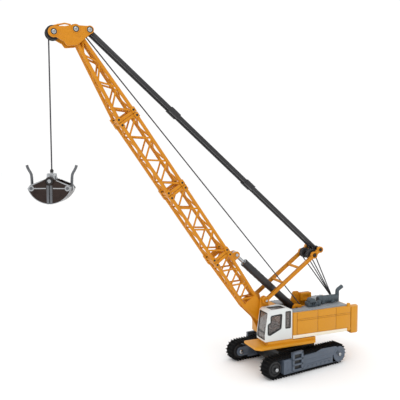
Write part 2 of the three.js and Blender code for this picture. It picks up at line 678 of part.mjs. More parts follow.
const halfGap = gap / 2;
const mid = { width: boomHalfWidth, low: -boomHalfDepth, high: boomHalfDepth };
const station = (x, shape = mid) => ({ x, ...shape });
const footLatticeStart = footPlateReach - 2;
const footPlate = plate(wrapped([
  [0, 0, 3.3], [footPlateReach, -boomHalfDepth + 0.4, 0.8], [footPlateReach, boomHalfDepth - 0.4, 0.8],
]), footHalfWidth, footHalfWidth + chordRadius);
const lug = onBoom(backstopLug);
const lugPlate = wrapped([
  [sectionLength - 3.2, boomHalfDepth - 0.6, 0.6], [lug.x, lug.z, 2.1], [lug.x - 1.5, boomHalfDepth + 0.6, 0.8],
]);
const lugInner = 1.9;
const footSection = cut(
  join([
    lattice(station(footLatticeStart, { width: footHalfWidth, low: -boomHalfDepth + 0.4, high: boomHalfDepth - 0.4 }),
      station(sectionLength - halfGap), 3),
    footPlate, footPlate.mirror([0, 1, 0]),
    plate(lugPlate, lugInner, lugInner + 1.1), plate(lugPlate, -lugInner - 1.1, -lugInner),
    box(sectionLength - 6.5, sectionLength - 2.1, -boomHalfWidth, boomHalfWidth, boomHalfDepth - 0.5, boomHalfDepth + 0.7),
  ]),
  crossRod({ x: 0, z: 0 }, -10, 10, footPinRadius + 0.1),
  crossRod(lug, -6, 6, 1.2),
);
addPiece(boom, 'boom_foot_section', footSection, orange);
addPiece(boom, 'boom_lower_section', lattice(station(sectionLength + halfGap), station(2 * sectionLength - halfGap), 3), orange);
addPiece(boom, 'boom_upper_section', lattice(station(2 * sectionLength + halfGap), station(3 * sectionLength - halfGap), 3), orange);
const headEnd = { width: headHalfWidth, low: 1.4, high: 5.6 };
addPiece(boom, 'boom_head_section', lattice(station(3 * sectionLength + halfGap), station(headSectionEnd, headEnd), 3), orange);
addPiece(boom, 'backstop_lug_pin', crossRod(lug, -lugInner - 1.6, lugInner + 1.6, 1.1, 18), chrome);

// head plates, drawn level with the boom at its working angle
const fromTip = (x, z) => [tipPin.x + x, tipPin.z + z];
const headOutline = [];
const arc = (centre, radius, from, to, steps = 6) => {
  for (let k = 0; k <= steps; k += 1) {
    const angle = (from + (to - from) * k / steps) * deg;
    headOutline.push([centre.x + radius * Math.cos(angle), centre.z + radius * Math.sin(angle)]);
  }
};
arc(tipPin, 3.2, -115, 80, 10);
headOutline.push(fromTip(-6.8, 3.6));
arc(deflectorPin, 2.9, 50, 130);
arc(pendantPin, 2.1, 80, 235);
headOutline.push(fromTip(-19.4, -2.3), fromTip(-17.6, -4.8), fromTip(-14.3, -8.4), fromTip(-7.8, -9.2), fromTip(-6.3, -6.4));
const headPins = [tipPin, deflectorPin, pendantPin];
for (const [sideName, side] of [['left', 1], ['right', -1]]) {
  const y = [side * headPlateInner, side * (headPlateInner + plateThickness)].sort((a, b) => a - b);
  const bores = headPins.map((pin) => crossRod(pin, -10, 10, pinRadius + 0.1));
  addPiece(crane, `head_plate_${sideName}`, cut(plate(headOutline, y[0], y[1]), ...bores), orange);
}
const headPinEnd = headPlateInner + plateThickness + 0.7;
for (const [name, pin] of [['tip_pin', tipPin], ['deflector_pin', deflectorPin], ['pendant_pin', pendantPin]]) {
  addPiece(crane, name, crossRod(pin, -headPinEnd, headPinEnd, pinRadius - 0.05, 20), chrome);
}

function sheaveSolid(point, centre, radius, groove, width, bore) {
  const half = width / 2;
  return turned(point, [
    [bore, centre - half], [radius, centre - half], [radius, centre - half + 0.6], [groove, centre - 0.5],
    [groove, centre + 0.5], [radius, centre + half - 0.6], [radius, centre + half], [bore, centre + half],
    [bore, centre - half],
  ], 20);
}
const sheaveBore = pinRadius + 0.15;
addPiece(crane, 'tip_sheave', sheaveSolid(tipPin, 0, tipSheaveRadius, tipGrooveRadius, sheaveWidth, sheaveBore), darkPlastic);
addPiece(crane, 'deflector_sheave',
  sheaveSolid(deflectorPin, 0, deflectorRadius, deflectorGroove, sheaveWidth, sheaveBore), darkPlastic);

// ---- mast, pendants and backstop ----

const mastPoint = (share) => ({
  x: mastPivot.x + (mastSheavePin.x - mastPivot.x) * share, z: mastPivot.z + (mastSheavePin.z - mastPivot.z) * share,
});
const mastPieces = [];
const mastAlong = Math.atan2(mastSheavePin.z - mastPivot.z, mastSheavePin.x - mastPivot.x);
const legEdge = 1.2;
const legNormal = { x: -Math.sin(mastAlong) * legEdge, z: Math.cos(mastAlong) * legEdge };
const legBar = [
  [mastPivot.x - legNormal.x, mastPivot.z - legNormal.z], [mastPivot.x + legNormal.x, mastPivot.z + legNormal.z],
  [mastEndPin.x + legNormal.x, mastEndPin.z + legNormal.z], [mastEndPin.x - legNormal.x, mastEndPin.z - legNormal.z],
];
for (const side of [-1, 1]) {
  const y0 = side * mastLegCentre - mastLegWidth / 2;
  const y1 = y0 + mastLegWidth;
  mastPieces.push(plate(legBar, y0, y1));
  mastPieces.push(crossRod(mastPivot, y0, y1, mastRingRadius));
  mastPieces.push(crossRod(mastSheavePin, y0, y1, 2.5));
  mastPieces.push(crossRod(mastEndPin, y0, y1, 2.3));
}
for (const share of mastCrossTubes) {
  const { x, z } = mastPoint(share);
  mastPieces.push(rod([x, -mastLegCentre, z], [x, mastLegCentre, z], crossTubeRadius, 10));
}
const mastFrame = cut(
  join(mastPieces),
  crossRod(mastPivot, -12, 12, 1.3 + 0.1, 20),
  crossRod(mastSheavePin, -12, 12, pinRadius + 0.1),
  crossRod(mastEndPin, -12, 12, 1.2 + 0.1),
);
addPiece(crane, 'mast_frame', mastFrame, yellow);
const mastPinEnd = mastLegCentre + mastLegWidth / 2 + 0.5;
addPiece(crane, 'mast_sheave_pin', crossRod(mastSheavePin, -mastPinEnd, mastPinEnd, pinRadius - 0.05, 20), chrome);
addPiece(crane, 'mast_end_pin', crossRod(mastEndPin, -mastPinEnd, mastPinEnd, 1.15, 20), chrome);
for (const [sideName, side] of [['left', 1], ['right', -1]]) {
  addPiece(crane, `mast_sheave_${sideName}`,
    sheaveSolid(mastSheavePin, side * mastSheaveCentre, mastSheaveRadius, 2.6, 3.4, sheaveBore), darkPlastic);
}

const pendantAlong = Math.atan2(pendantPin.z - mastEndPin.z, pendantPin.x - mastEndPin.x);
const pendantSpan = Math.hypot(pendantPin.z - mastEndPin.z, pendantPin.x - mastEndPin.x);
for (const [sideName, side] of [['left', 1], ['right', -1]]) {
  const y0 = side * pendantCentre - pendantThickness / 2;
  const y1 = side * pendantCentre + pendantThickness / 2;
  const third = pendantSpan / 3;
  const fat = 0.5;
  const bars = [box(0, pendantSpan, y0, y1, -pendantHeight / 2, pendantHeight / 2)];
  for (const k of [1, 2]) {
    bars.push(box(k * third - 4, k * third + 4, y0 - 0.2, y1 + 0.2, -pendantHeight / 2 - fat, pendantHeight / 2 + fat));
  }
  bars.push(crossRod({ x: 0, z: 0 }, y0, y1, 2.3), crossRod({ x: pendantSpan, z: 0 }, y0, y1, 2.5));
  const pendant = cut(
    join(bars), crossRod({ x: 0, z: 0 }, y0 - 1, y1 + 1, 1.3),
    crossRod({ x: pendantSpan, z: 0 }, y0 - 1, y1 + 1, pinRadius + loopClearance - 0.05));
  const placed = pendant.rotate([0, -pendantAlong / deg, 0]).translate([mastEndPin.x, 0, mastEndPin.z]);
  addPiece(crane, `pendant_${sideName}`, placed, graphite);
}

const backstopAlong = Math.atan2(backstopLug.z - backstopFoot.z, backstopLug.x - backstopFoot.x);
const placeBackstop = (solid) => solid.rotate([0, -backstopAlong / deg, 0]).translate([backstopFoot.x, 0, backstopFoot.z]);
const barrelBore = rodRadius + 0.25;
const barrelFloor = 12;
const barrel = cut(
  join([
    rod([3.2, 0, 0], [barrelLength, 0, 0], barrelRadius, 24),
    box(0, 6, -2.2, 2.2, -2.4, 2.4),
    crossRod({ x: 0, z: 0 }, -2.2, 2.2, 2.4),
  ]),
  rod([barrelFloor, 0, 0], [barrelLength + 1, 0, 0], barrelBore, 16),
  crossRod({ x: 0, z: 0 }, -5, 5, pinRadius + 0.1),
);
addPiece(crane, 'backstop_barrel', placeBackstop(barrel), graphite);
const rodInside = barrelLength - 20;
const backstopRod = cut(
  join([
    rod([rodInside, 0, 0], [backstopSpan - 1, 0, 0], rodRadius, 16),
    crossRod({ x: backstopSpan, z: 0 }, -1.4, 1.4, 2.2, 20),
  ]),
  crossRod({ x: backstopSpan, z: 0 }, -4, 4, 1.1 + loopClearance, 18),
);
addPiece(crane, 'backstop_rod', placeBackstop(backstopRod), chrome);

// ---- ropes ----

const point3 = (x, y, z) => new THREE.Vector3(x, y, z);
const ropeRun = Math.atan2(deflectorPin.z - hoistDrum.z, deflectorPin.x - hoistDrum.x);
const upSide = { x: -Math.sin(ropeRun), z: Math.cos(ropeRun) };
const drumReach = drumCoreRadius + ropeRadius + 0.1;
const sheaveReach = deflectorGroove + ropeRadius + 0.1;
const hoistLow = point3(hoistDrum.x + upSide.x * drumReach, 0, hoistDrum.z + upSide.z * drumReach);
const hoistHigh = point3(deflectorPin.x + upSide.x * sheaveReach, 0, deflectorPin.z + upSide.z * sheaveReach);
const hoistLength = hoistLow.distanceTo(hoistHigh);
const hoistAt = (distance) => hoistLow.clone().lerp(hoistHigh, distance / hoistLength);
const guide = mastPoint(mastCrossTubes[0]);
const guideDistance = (guide.x - hoistLow.x) * Math.cos(ropeRun) + (guide.z - hoistLow.z) * Math.sin(ropeRun);
addPiece(crane, 'hoist_rope_lower',
  tube(new THREE.LineCurve3(hoistAt(6), hoistAt(guideDistance - 3)), ropeRadius, 1), ropeBlack);
addPiece(crane, 'hoist_rope',
  tube(new THREE.LineCurve3(hoistAt(guideDistance + 3), hoistAt(hoistLength)), ropeRadius, 1), ropeBlack);

// the luffing rope loops over each mast sheave; its house end is separate and slides past it
const luffingRun = Math.atan2(mastSheavePin.z - luffingRopeFoot.z, mastSheavePin.x - luffingRopeFoot.x);
const luffingReach = 2.6 + ropeRadius + 0.1;
const luffingFoot = point3(luffingRopeFoot.x, 0, luffingRopeFoot.z);
const luffingTop = (side, edge) => point3(
  mastSheavePin.x - edge * luffingReach * Math.sin(luffingRun), side * mastSheaveCentre,
  mastSheavePin.z + edge * luffingReach * Math.cos(luffingRun));
for (const [sideName, side] of [['left', 1], ['right', -1]]) {
  const loop = new THREE.CurvePath();
  const ends = [-1, 1].map((edge) => luffingTop(side, edge).lerp(luffingFoot, luffingUpperShare));
  loop.add(new THREE.LineCurve3(ends[0], luffingTop(side, -1)));
  const turn = 6;
  for (let k = 0; k < turn; k += 1) {
    const at = (n) => {
      const angle = luffingRun - Math.PI / 2 + Math.PI * n / turn;
      return point3(
        mastSheavePin.x + luffingReach * Math.cos(angle), side * mastSheaveCentre,
        mastSheavePin.z + luffingReach * Math.sin(angle));
    };
    loop.add(new THREE.LineCurve3(at(k), at(k + 1)));
  }
  loop.add(new THREE.LineCurve3(luffingTop(side, 1), ends[1]));
  addPiece(crane, `luffing_rope_${sideName}`, tube(loop, ropeRadius, 40, 6), ropeBlack);
}
const strands = [];
for (const side of [-1, 1]) {
  for (const edge of [-1, 1]) {
    const from = luffingTop(side, edge).lerp(luffingFoot, 1 - luffingFootShare);
    strands.push(tube(new THREE.LineCurve3(from, luffingFoot), ropeRadius, 1, 6));
  }
}
const gather = rod([luffingFoot.x, 0, luffingFoot.z + 1.2], [luffingFoot.x, 0, luffingFoot.z - 3], 0.9, 8);
addPiece(crane, 'luffing_rope_foot', join([...strands, gather]), ropeBlack);

const fallX = tipPin.x + tipGrooveRadius - 0.15;
const fallRope = rod([fallX, 0, tipPin.z - tipSheaveRadius - gap], [fallX, 0, socketTop + gap], ropeRadius, 8);
addPiece(crane, 'fall_rope', fallRope, ropeBlack);

// ---- grab ----

const grab = new THREE.Group();
grab.position.set(fallX, 0, grabPivotHeight);
grab.rotation.z = grabYaw;
crane.add(grab);
const rim = jawRimHeight - grabPivotHeight;
const grabPinRadius = 1.2;
const cheekY = 2.2;
const yokeShape = wrapped([[0, 0, 2.5], [2.3, yokeTop - grabPivotHeight - 0.5, 0.5], [-2.3, yokeTop - grabPivotHeight - 0.5, 0.5]]);
const yoke = cut(
  join([
    plate(yokeShape, cheekY, cheekY + 1), plate(yokeShape, -cheekY - 1, -cheekY),
    box(-2.6, 2.6, -cheekY - 1, cheekY + 1, yokeTop - grabPivotHeight - 1.6, yokeTop - grabPivotHeight),
  ]),
  crossRod({ x: 0, z: 0 }, -9, 9, grabPinRadius + 0.1),
);
addPiece(grab, 'grab_yoke', yoke, chrome);
const socket = turned({ x: 0, z: 0 }, [
  [0, yokeTop + gap], [0.9, yokeTop + gap], [1.2, yokeTop + gap + 0.5], [1.2, socketTop - 0.9], [0.6, socketTop], [0, socketTop],
], 14).rotate([90, 0, 0]).translate([0, 0, -grabPivotHeight]);
addPiece(grab, 'rope_socket', socket, ropeBlack);
addPiece(grab, 'grab_pin', crossRod({ x: 0, z: 0 }, -jawHalfWidth - 0.8, jawHalfWidth + 0.8, grabPinRadius - 0.05, 18), chrome);

// one jaw, opening towards +X; the hub of the left jaw sits outside that of the right jaw
function jawSolid(hubOutside) {
  const bottom = -Math.PI / 2 + 0.02;
  const rimAngle = Math.asin(rim / jawRadius);
  const sideOutline = [];
  const steps = 12;
  for (let k = 0; k <= steps; k += 1) {
    const angle = bottom + (rimAngle - bottom) * k / steps;
    sideOutline.push([jawRadius * Math.cos(angle), jawRadius * Math.sin(angle)]);
  }
  sideOutline.push([11.6, rim + 2.0], [4.2, 0.5], [2.4, 1.3], [0.25, 1.3]);
  const full = plate(sideOutline, -jawHalfWidth, jawHalfWidth);
  const inside = [];
  for (let k = 0; k <= steps; k += 1) {
    const angle = -Math.PI / 2 - 0.1 + (rimAngle + 0.12 + Math.PI / 2) * k / steps;
    inside.push([(jawRadius - jawWall) * Math.cos(angle), (jawRadius - jawWall) * Math.sin(angle)]);
  }
  inside.push([jawRadius + 2, 4], [-2, 4]);
  const shell = cut(full, plate(inside, jawWall - jawHalfWidth, jawHalfWidth - jawWall));
  const hubRadius = 2.6;
  const hubY = hubOutside ? [jawHalfWidth - jawWall, jawHalfWidth] : [jawHalfWidth - 2 * jawWall - gap, jawHalfWidth - jawWall - gap];
  let jaw = shell;
  if (!hubOutside) jaw = cut(jaw, crossRod({ x: 0, z: 0 }, -jawHalfWidth - 1, jawHalfWidth + 1, hubRadius + gap));
  for (const side of [-1, 1]) {
    const y = hubY.map((v) => side * v).sort((a, b) => a - b);
    jaw = jaw.add(crossRod({ x: 0, z: 0 }, y[0], y[1], hubRadius));
    if (!hubOutside) {
      const arm = plate([[0.25, -2.4], [5.4, -5.2], [5.4, -1.2], [0.25, 2.4]], y[0], side > 0 ? y[1] + gap : y[1]);
      const armOut = plate([[3.2, -5.4], [5.4, -5.4], [5.4, -0.4], [3.2, -0.4]],
        Math.min(side * (jawHalfWidth - 0.1), y[0]), Math.max(side * (jawHalfWidth - 0.1), y[1]));
      jaw = jaw.add(arm).add(armOut);
    }
  }
  const cornerX = 11.0;
  const hornPath = new THREE.CatmullRomCurve3([
    point3(12.2, 0, rim - 0.6), point3(12.3, 0, rim + 4.2), point3(12.6, 0, rim + 8.2), point3(14.0, 0, rim + 10.8),
    point3(15.3, 0, rim + 14.0),
  ]);
  const cornerBar = crossRod({ x: cornerX, z: rim }, -jawHalfWidth - 0.4, jawHalfWidth + 0.4, 1.7, 18);
  const floorBar = crossRod({ x: 12.2, z: rim - 0.6 }, -1.6, 1.6, 1.3, 12);
  jaw = join([jaw, cornerBar, tube(hornPath, 0.85, 10), floorBar]);
  return cut(jaw, crossRod({ x: 0, z: 0 }, -9, 9, grabPinRadius + 0.1));
}
addPiece(grab, 'jaw_front', jawSolid(true), bronzeChrome);
addPiece(grab, 'jaw_rear', jawSolid(false).mirror([1, 0, 0]), bronzeChrome);

export default crane;
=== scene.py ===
import bmesh
import bpy
from math import acos, asin, atan2, cos, degrees, hypot, pi, radians, sin, tan
from mathutils import Matrix, Vector


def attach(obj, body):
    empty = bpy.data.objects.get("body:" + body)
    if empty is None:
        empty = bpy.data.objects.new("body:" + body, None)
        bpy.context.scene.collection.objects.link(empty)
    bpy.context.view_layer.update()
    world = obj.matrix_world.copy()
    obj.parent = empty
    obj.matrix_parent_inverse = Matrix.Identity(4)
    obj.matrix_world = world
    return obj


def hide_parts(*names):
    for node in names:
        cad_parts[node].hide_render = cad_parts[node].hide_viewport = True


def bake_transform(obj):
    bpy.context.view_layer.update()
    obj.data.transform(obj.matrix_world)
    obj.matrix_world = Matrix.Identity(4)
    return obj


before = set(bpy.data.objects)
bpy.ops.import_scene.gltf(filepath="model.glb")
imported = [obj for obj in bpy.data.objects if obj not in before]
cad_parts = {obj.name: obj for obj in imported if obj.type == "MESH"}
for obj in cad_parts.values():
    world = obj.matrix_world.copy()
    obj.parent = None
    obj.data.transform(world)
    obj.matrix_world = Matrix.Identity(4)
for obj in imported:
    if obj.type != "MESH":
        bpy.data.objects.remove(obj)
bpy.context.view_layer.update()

# Lengths below are millimetres above the table the crawler stands on; the frame's
# origin is the carbody's underside, so every height drops by the belly clearance.
bellyClearance = 4.2
scene = bpy.context.scene


def place(x, y, z):
    return Vector((x, y, z - bellyClearance)) / 1000.0


# camera
camera = {
    "turn": 23.08,          # degrees round from the cab side towards the boom's front
    "dip": 3.53,
    "distance": 412.3,
    "sideways": -64.58,
    "height": 155.5,
    "lens": 50.6,
    "shiftY": -0.033,
}


def addCamera(size):
    turn = radians(size["turn"])
    dip = radians(size["dip"])
    right = Vector((-cos(turn), sin(turn), 0))
    back = Vector((sin(turn) * cos(dip), cos(turn) * cos(dip), sin(dip)))
    up = back.cross(right)
    spot = Vector((sin(turn), cos(turn), 0)) * size["distance"] + right * size["sideways"]
    data = bpy.data.cameras.new("viewCamera")
    data.lens = size["lens"]
    data.sensor_width = 36
    data.shift_y = size["shiftY"]
    data.clip_start = 0.01
    data.clip_end = 20
    eye = bpy.data.objects.new("viewCamera", data)
    scene.collection.objects.link(eye)
    turned = Matrix((right, up, back)).transposed().to_4x4()
    eye.matrix_world = Matrix.Translation(place(spot.x, spot.y, size["height"])) @ turned
    scene.camera = eye


addCamera(camera)

# materials


def hexColour(text):
    channels = [int(text[i:i + 2], 16) / 255 for i in (1, 3, 5)]
    linear = [c / 12.92 if c <= 0.04045 else ((c + 0.055) / 1.055) ** 2.4 for c in channels]
    return (*linear, 1.0)


def addNode(tree, kind, settings=None, **sockets):
    made = tree.nodes.new(kind)
    for key, value in (settings or {}).items():
        setattr(made, key, value)
    for key, value in sockets.items():
        spot = int(key[1:]) if key[0] == "i" and key[1:].isdigit() else key.replace("_", " ")
        if isinstance(value, bpy.types.Node):
            value = value.outputs[0]
        if isinstance(value, bpy.types.NodeSocket):
            tree.links.new(value, made.inputs[spot])
        else:
            made.inputs[spot].default_value = value
    return made


def perMetre(millimetres):
    # a noise pattern repeats about once in each unit of its scaled coordinate
    return 1000.0 / millimetres


def moulded(name, colour, deep, rough, mottle, grain, bump, **shader):
    # base colour wanders slowly between two shades, gloss wanders with it, and a fine
    # grain lifts the surface; all three sizes are in millimetres
    made = bpy.data.materials.new(name)
    made.use_nodes = True
    tree = made.node_tree
    skin = tree.nodes["Principled BSDF"]
    where = addNode(tree, "ShaderNodeTexCoord")
    cloud = addNode(tree, "ShaderNodeTexNoise", Vector=where.outputs["Object"], Scale=perMetre(mottle), Detail=4.0)
    shade = addNode(tree, "ShaderNodeMix", {"data_type": "RGBA"}, Factor=cloud.outputs["Fac"])
    shade.inputs[6].default_value = hexColour(deep)
    shade.inputs[7].default_value = hexColour(colour)
    spread = addNode(tree, "ShaderNodeMapRange", i0=cloud.outputs["Fac"], i1=0.3, i2=0.7, i3=rough - 0.06,
            i4=rough + 0.07)
    fine = addNode(tree, "ShaderNodeTexNoise", Vector=where.outputs["Object"], Scale=perMetre(grain), Detail=3.0)
    lift = addNode(tree, "ShaderNodeBump", Height=fine.outputs["Fac"], Strength=bump, Distance=0.0002)
    tree.links.new(shade.outputs[2], skin.inputs["Base Color"])
    tree.links.new(spread.outputs[0], skin.inputs["Roughness"])
    tree.links.new(lift.outputs[0], skin.inputs["Normal"])
    for key, value in shader.items():
        skin.inputs[key.replace("_", " ")].default_value = value
    return made


# sprayed enamel on die-cast zinc: a thin gloss coat with a faint orange peel
castEnamel = moulded("sprayedEnamelOnZinc", "#D39118", "#CA8711", 0.4, 14, 0.9, 0.10, Coat_Weight=0.1,
        Coat_Roughness=0.2, Specular_IOR_Level=0.35)
# moulded ABS coloured in the mass: satin, slightly uneven, a soft glow at thin bars
boomPlastic = moulded("orangeMouldedAbs", "#D0880D", "#C27A07", 0.45, 9, 0.7, 0.12, Specular_IOR_Level=0.3)
cabPlastic = moulded("whiteMouldedAbs", "#DDE0DF", "#D3D7D6", 0.36, 12, 0.8, 0.08, Coat_Weight=0.1)
roofPlastic = moulded("paleGreyMouldedAbs", "#979B9F", "#83888C", 0.6, 5, 0.6, 0.18)
enginePlastic = moulded("slateMouldedAbs", "#49545B", "#3A454C", 0.48, 5, 0.5, 0.2)
framePlastic = moulded("blueGreyMouldedAbs", "#596371", "#4C5663", 0.46, 6, 0.6, 0.18)
graphitePlastic = moulded("graphiteMouldedAbs", "#252427", "#1C1B1D", 0.45, 8, 0.6, 0.12)
trackRubber = moulded("softBlackRubber", "#08080A", "#040405", 0.7, 4, 0.35, 0.35, Specular_IOR_Level=0.2)
wheelPlastic = moulded("blackMouldedAbs", "#242528", "#1B1C1E", 0.5, 5, 0.5, 0.2)
carbodyEnamel = moulded("blackEnamelOnZinc", "#1F2022", "#17181A", 0.45, 9, 0.8, 0.1)
# black print and black parts, also used as the painted shade filling the step openings
blackPartsAndSlotShade = moulded("blackPadPrint", "#0E0F11", "#08090A", 0.4, 3, 0.4, 0.1)
stripePrint = moulded("creamPadPrint", "#EFE6D2", "#E8DDC6", 0.4, 8, 0.6, 0.05)
seatPlastic = moulded("tanMouldedAbs", "#9A6B45", "#865B39", 0.6, 4, 0.4, 0.2)
# painted shade: a darker enamel for the sheet seen through the panel gaps and for the handle recess
paintedSeamShade = moulded("shadedEnamel", "#9A6412", "#8C5A0F", 0.55, 4, 0.5, 0.1)
wornChrome = moulded("wornChromePlating", "#77797C", "#54565A", 0.3, 4, 0.6, 0.1, Metallic=0.9)
brightChrome = moulded("chromePlating", "#B4B6B8", "#A2A5A8", 0.16, 6, 1.0, 0.03, Metallic=1.0)
darkChrome = moulded("smokedChromePlating", "#3E322E", "#241C1A", 0.26, 3, 0.6, 0.12, Metallic=0.75)


def glazing():
    # smoked polycarbonate: clear enough to show the seat, brown-grey where it is thick
    made = bpy.data.materials.new("smokedPolycarbonate")
    made.use_nodes = True
    tree = made.node_tree
    skin = tree.nodes["Principled BSDF"]
    where = addNode(tree, "ShaderNodeTexCoord")
    cloud = addNode(tree, "ShaderNodeTexNoise", Vector=where.outputs["Object"], Scale=perMetre(9), Detail=2.0)
    shade = addNode(tree, "ShaderNodeMix", {"data_type": "RGBA"}, Factor=cloud.outputs["Fac"])
    shade.inputs[6].default_value = hexColour("#7A6F6C")
    shade.inputs[7].default_value = hexColour("#A19995")
    tree.links.new(shade.outputs[2], skin.inputs["Base Color"])
    skin.inputs["Roughness"].default_value = 0.06
    skin.inputs["IOR"].default_value = 1.58
    skin.inputs["Transmission Weight"].default_value = 0.55
    skin.inputs["Alpha"].default_value = 0.5
    return made


def twistedThread():
    # three-strand waxed thread: the strands wind along the piece's own UV map, whose
    # U runs round the thread and V along it in millimetres
    made = bpy.data.materials.new("waxedBlackThread")
    made.use_nodes = True
    tree = made.node_tree
    skin = tree.nodes["Principled BSDF"]
    where = addNode(tree, "ShaderNodeTexCoord")
    apart = addNode(tree, "ShaderNodeSeparateXYZ", Vector=where.outputs["UV"])
    turns = addNode(tree, "ShaderNodeMath", {"operation": "MULTIPLY_ADD"}, i0=apart.outputs[1], i1=0.55, i2=apart)
    triple = addNode(tree, "ShaderNodeMath", {"operation": "MULTIPLY"}, i0=turns, i1=3.0 * 2 * pi)
    strand = addNode(tree, "ShaderNodeMath", {"operation": "SINE"}, i0=triple)
    fuzz = addNode(tree, "ShaderNodeTexNoise", Vector=where.outputs["Object"], Scale=perMetre(0.4), Detail=3.0)
    height = addNode(tree, "ShaderNodeMath", {"operation": "MULTIPLY_ADD"}, i0=strand, i1=0.5, i2=fuzz.outputs["Fac"])
    lift = addNode(tree, "ShaderNodeBump", Height=height, Strength=0.6, Distance=0.0001)
    # the strand crests are painted lighter and the grooves between strands darker: a painted highlight and painted
    # shade that follow the relief
    band = addNode(tree, "ShaderNodeMapRange", i0=strand, i1=-1.0, i2=1.0, i3=0.0, i4=1.0)
    shade = addNode(tree, "ShaderNodeMix", {"data_type": "RGBA"}, Factor=band)
    shade.inputs[6].default_value = hexColour("#1C1C1F")
    shade.inputs[7].default_value = hexColour("#45454A")
    tree.links.new(shade.outputs[2], skin.inputs["Base Color"])
    tree.links.new(lift.outputs[0], skin.inputs["Normal"])
    skin.inputs["Roughness"].default_value = 0.75
    skin.inputs["Sheen Weight"].default_value = 0.2
    return made


smokedGlass = glazing()
ropeThread = twistedThread()

print("materials made")

# shapes: every function returns (points in mm, faces)


def shiftFaces(faces, by):
    return [[k + by for k in face] for face in faces]


def merged(*shapes):
    points, faces = [], []
    for shapePoints, shapeFaces in shapes:
        faces += shiftFaces(shapeFaces, len(points))
        points += shapePoints
    return points, faces


def moved(shape, matrix):
    return [tuple(matrix @ Vector(p)) for p in shape[0]], shape[1]


def mirrored(shape):
    return [(x, -y, z) for x, y, z in shape[0]], [face[::-1] for face in shape[1]]


def polar(centre, radius, turn):
    angle = radians(turn)
    return centre[0] + radius * cos(angle), centre[1] + radius * sin(angle)


def arcLine(centre, radius, start, end, steps):
    return [polar(centre, radius, start + (end - start) * k / steps) for k in range(steps + 1)]


def onSide(side, shape):
    return shape if side > 0 else mirrored(shape)


def both(*shapes):
    return [made for shape in shapes for made in (shape, mirrored(shape))]


def rect(a, b, c, d):
    return [(a, c), (b, c), (b, d), (a, d)]


def block(x0, x1, y0, y1, z0, z1):
    points = [(x, y, z) for x in (x0, x1) for y in (y0, y1) for z in (z0, z1)]
    return points, [[0, 1, 3, 2], [4, 6, 7, 5], [0, 4, 5, 1], [2, 3, 7, 6], [0, 2, 6, 4], [1, 5, 7, 3]]


def tubeAlong(line, radius, sides=12, flatten=1.0):
    path = [Vector(p) for p in line]
    points, faces = [], []
    side = None
    for k, here in enumerate(path):
        ahead = path[min(k + 1, len(path) - 1)] - path[max(k - 1, 0)]
        ahead.normalize()
        if side is None:
            side = ahead.cross(Vector((0, 1, 0)) if abs(ahead.y) < 0.9 else Vector((1, 0, 0)))
        side = (side - ahead * side.dot(ahead)).normalized()
        over = ahead.cross(side)
        wide = radius[k] if isinstance(radius, (list, tuple)) else radius
        for n in range(sides):
            angle = 2 * pi * n / sides
            points.append(tuple(here + side * (wide * cos(angle)) + over * (wide * flatten * sin(angle))))
    for k in range(len(path) - 1):
        for n in range(sides):
            a, b = k * sides + n, k * sides + (n + 1) % sides
            faces.append([a, b, b + sides, a + sides])
    faces.append(list(range(sides))[::-1])
    faces.append([(len(path) - 1) * sides + n for n in range(sides)])
    return points, faces


def rod(start, end, radius, sides=20):
    return tubeAlong([start, end], radius, sides)


def crossRod(at, y0, y1, radius, sides=24):
    return rod((at[0], y0, at[1]), (at[0], y1, at[1]), radius, sides)


def turned(at, rows, sides=40, axis="y"):
    # rows are (radius, distance along the axis); a first and last radius of 0 close the ends
    points, faces = [], []
    rings = []
    for radius, along in rows:
        ring = []
        for n in range(1 if radius == 0 else sides):
            angle = 2 * pi * n / sides
            a, b = radius * cos(angle), radius * sin(angle)
            spot = (at[0] + a, along, at[1] + b) if axis == "y" else (at[0] + a, at[1] - b, along)
            ring.append(len(points))
            points.append(spot)
        rings.append(ring)
    for low, high in zip(rings, rings[1:]):
        for n in range(sides):
            m = (n + 1) % sides
            quad = [low[n % len(low)], low[m % len(low)], high[m % len(high)], high[n % len(high)]]
            corners = [q for k, q in enumerate(quad) if q != quad[k - 1]]
            if len(corners) > 2:
                faces.append(corners)
    return points, faces


def spun(at, rows, sides=40, axis="y"):
    # a closed ring profile, as on a sheave with a bore
    points, faces = turned(at, rows + [rows[0]], sides, axis)
    count = len(points) - sides
    return points[:count], [[k - count if k >= count else k for k in face] for face in faces]


def washer(at, bore, radius, low, high, sides=40, axis="y"):
    return spun(at, [(bore, low), (radius, low), (radius, high), (bore, high)], sides, axis)


def roundedOutline(corners, radius, steps=5):
    line = []
    count = len(corners)
    for k, corner in enumerate(corners):
        here, before, after = (Vector(corners[j % count]).to_2d() for j in (k, k - 1, k + 1))
        into, out = (before - here), (after - here)
        size = radius[k] if isinstance(radius, (list, tuple)) else radius
        if size <= 0:
            line.append(tuple(here))
            continue
        half = into.angle(out) / 2
        reach = min(size / tan(half), into.length * 0.48, out.length * 0.48)
        start, end = here + into.normalized() * reach, here + out.normalized() * reach
        for n in range(steps + 1):
            t = n / steps
            line.append(tuple(start * (1 - t) ** 2 + here * (2 * t * (1 - t)) + end * t ** 2))
    return line


def grown(corners, by):
    # moves every side of a convex outline outwards
    count = len(corners)
    area = sum(corners[k][0] * corners[(k + 1) % count][1] - corners[(k + 1) % count][0] * corners[k][1] for k in range(count))
    sign = 1 if area > 0 else -1
    sides = []
    for k in range(count):
        a, b = Vector(corners[k]), Vector(corners[(k + 1) % count])
        along = (b - a).normalized()
        normal = Vector((along.y, -along.x)) * sign
        sides.append((a + normal * by, along))
    line = []
    for k in range(count):
        (p, u), (q, v) = sides[k - 1], sides[k]
        cross = u.x * v.y - u.y * v.x
        t = ((q - p).x * v.y - (q - p).y * v.x) / cross
        line.append(tuple(p + u * t))
    return line


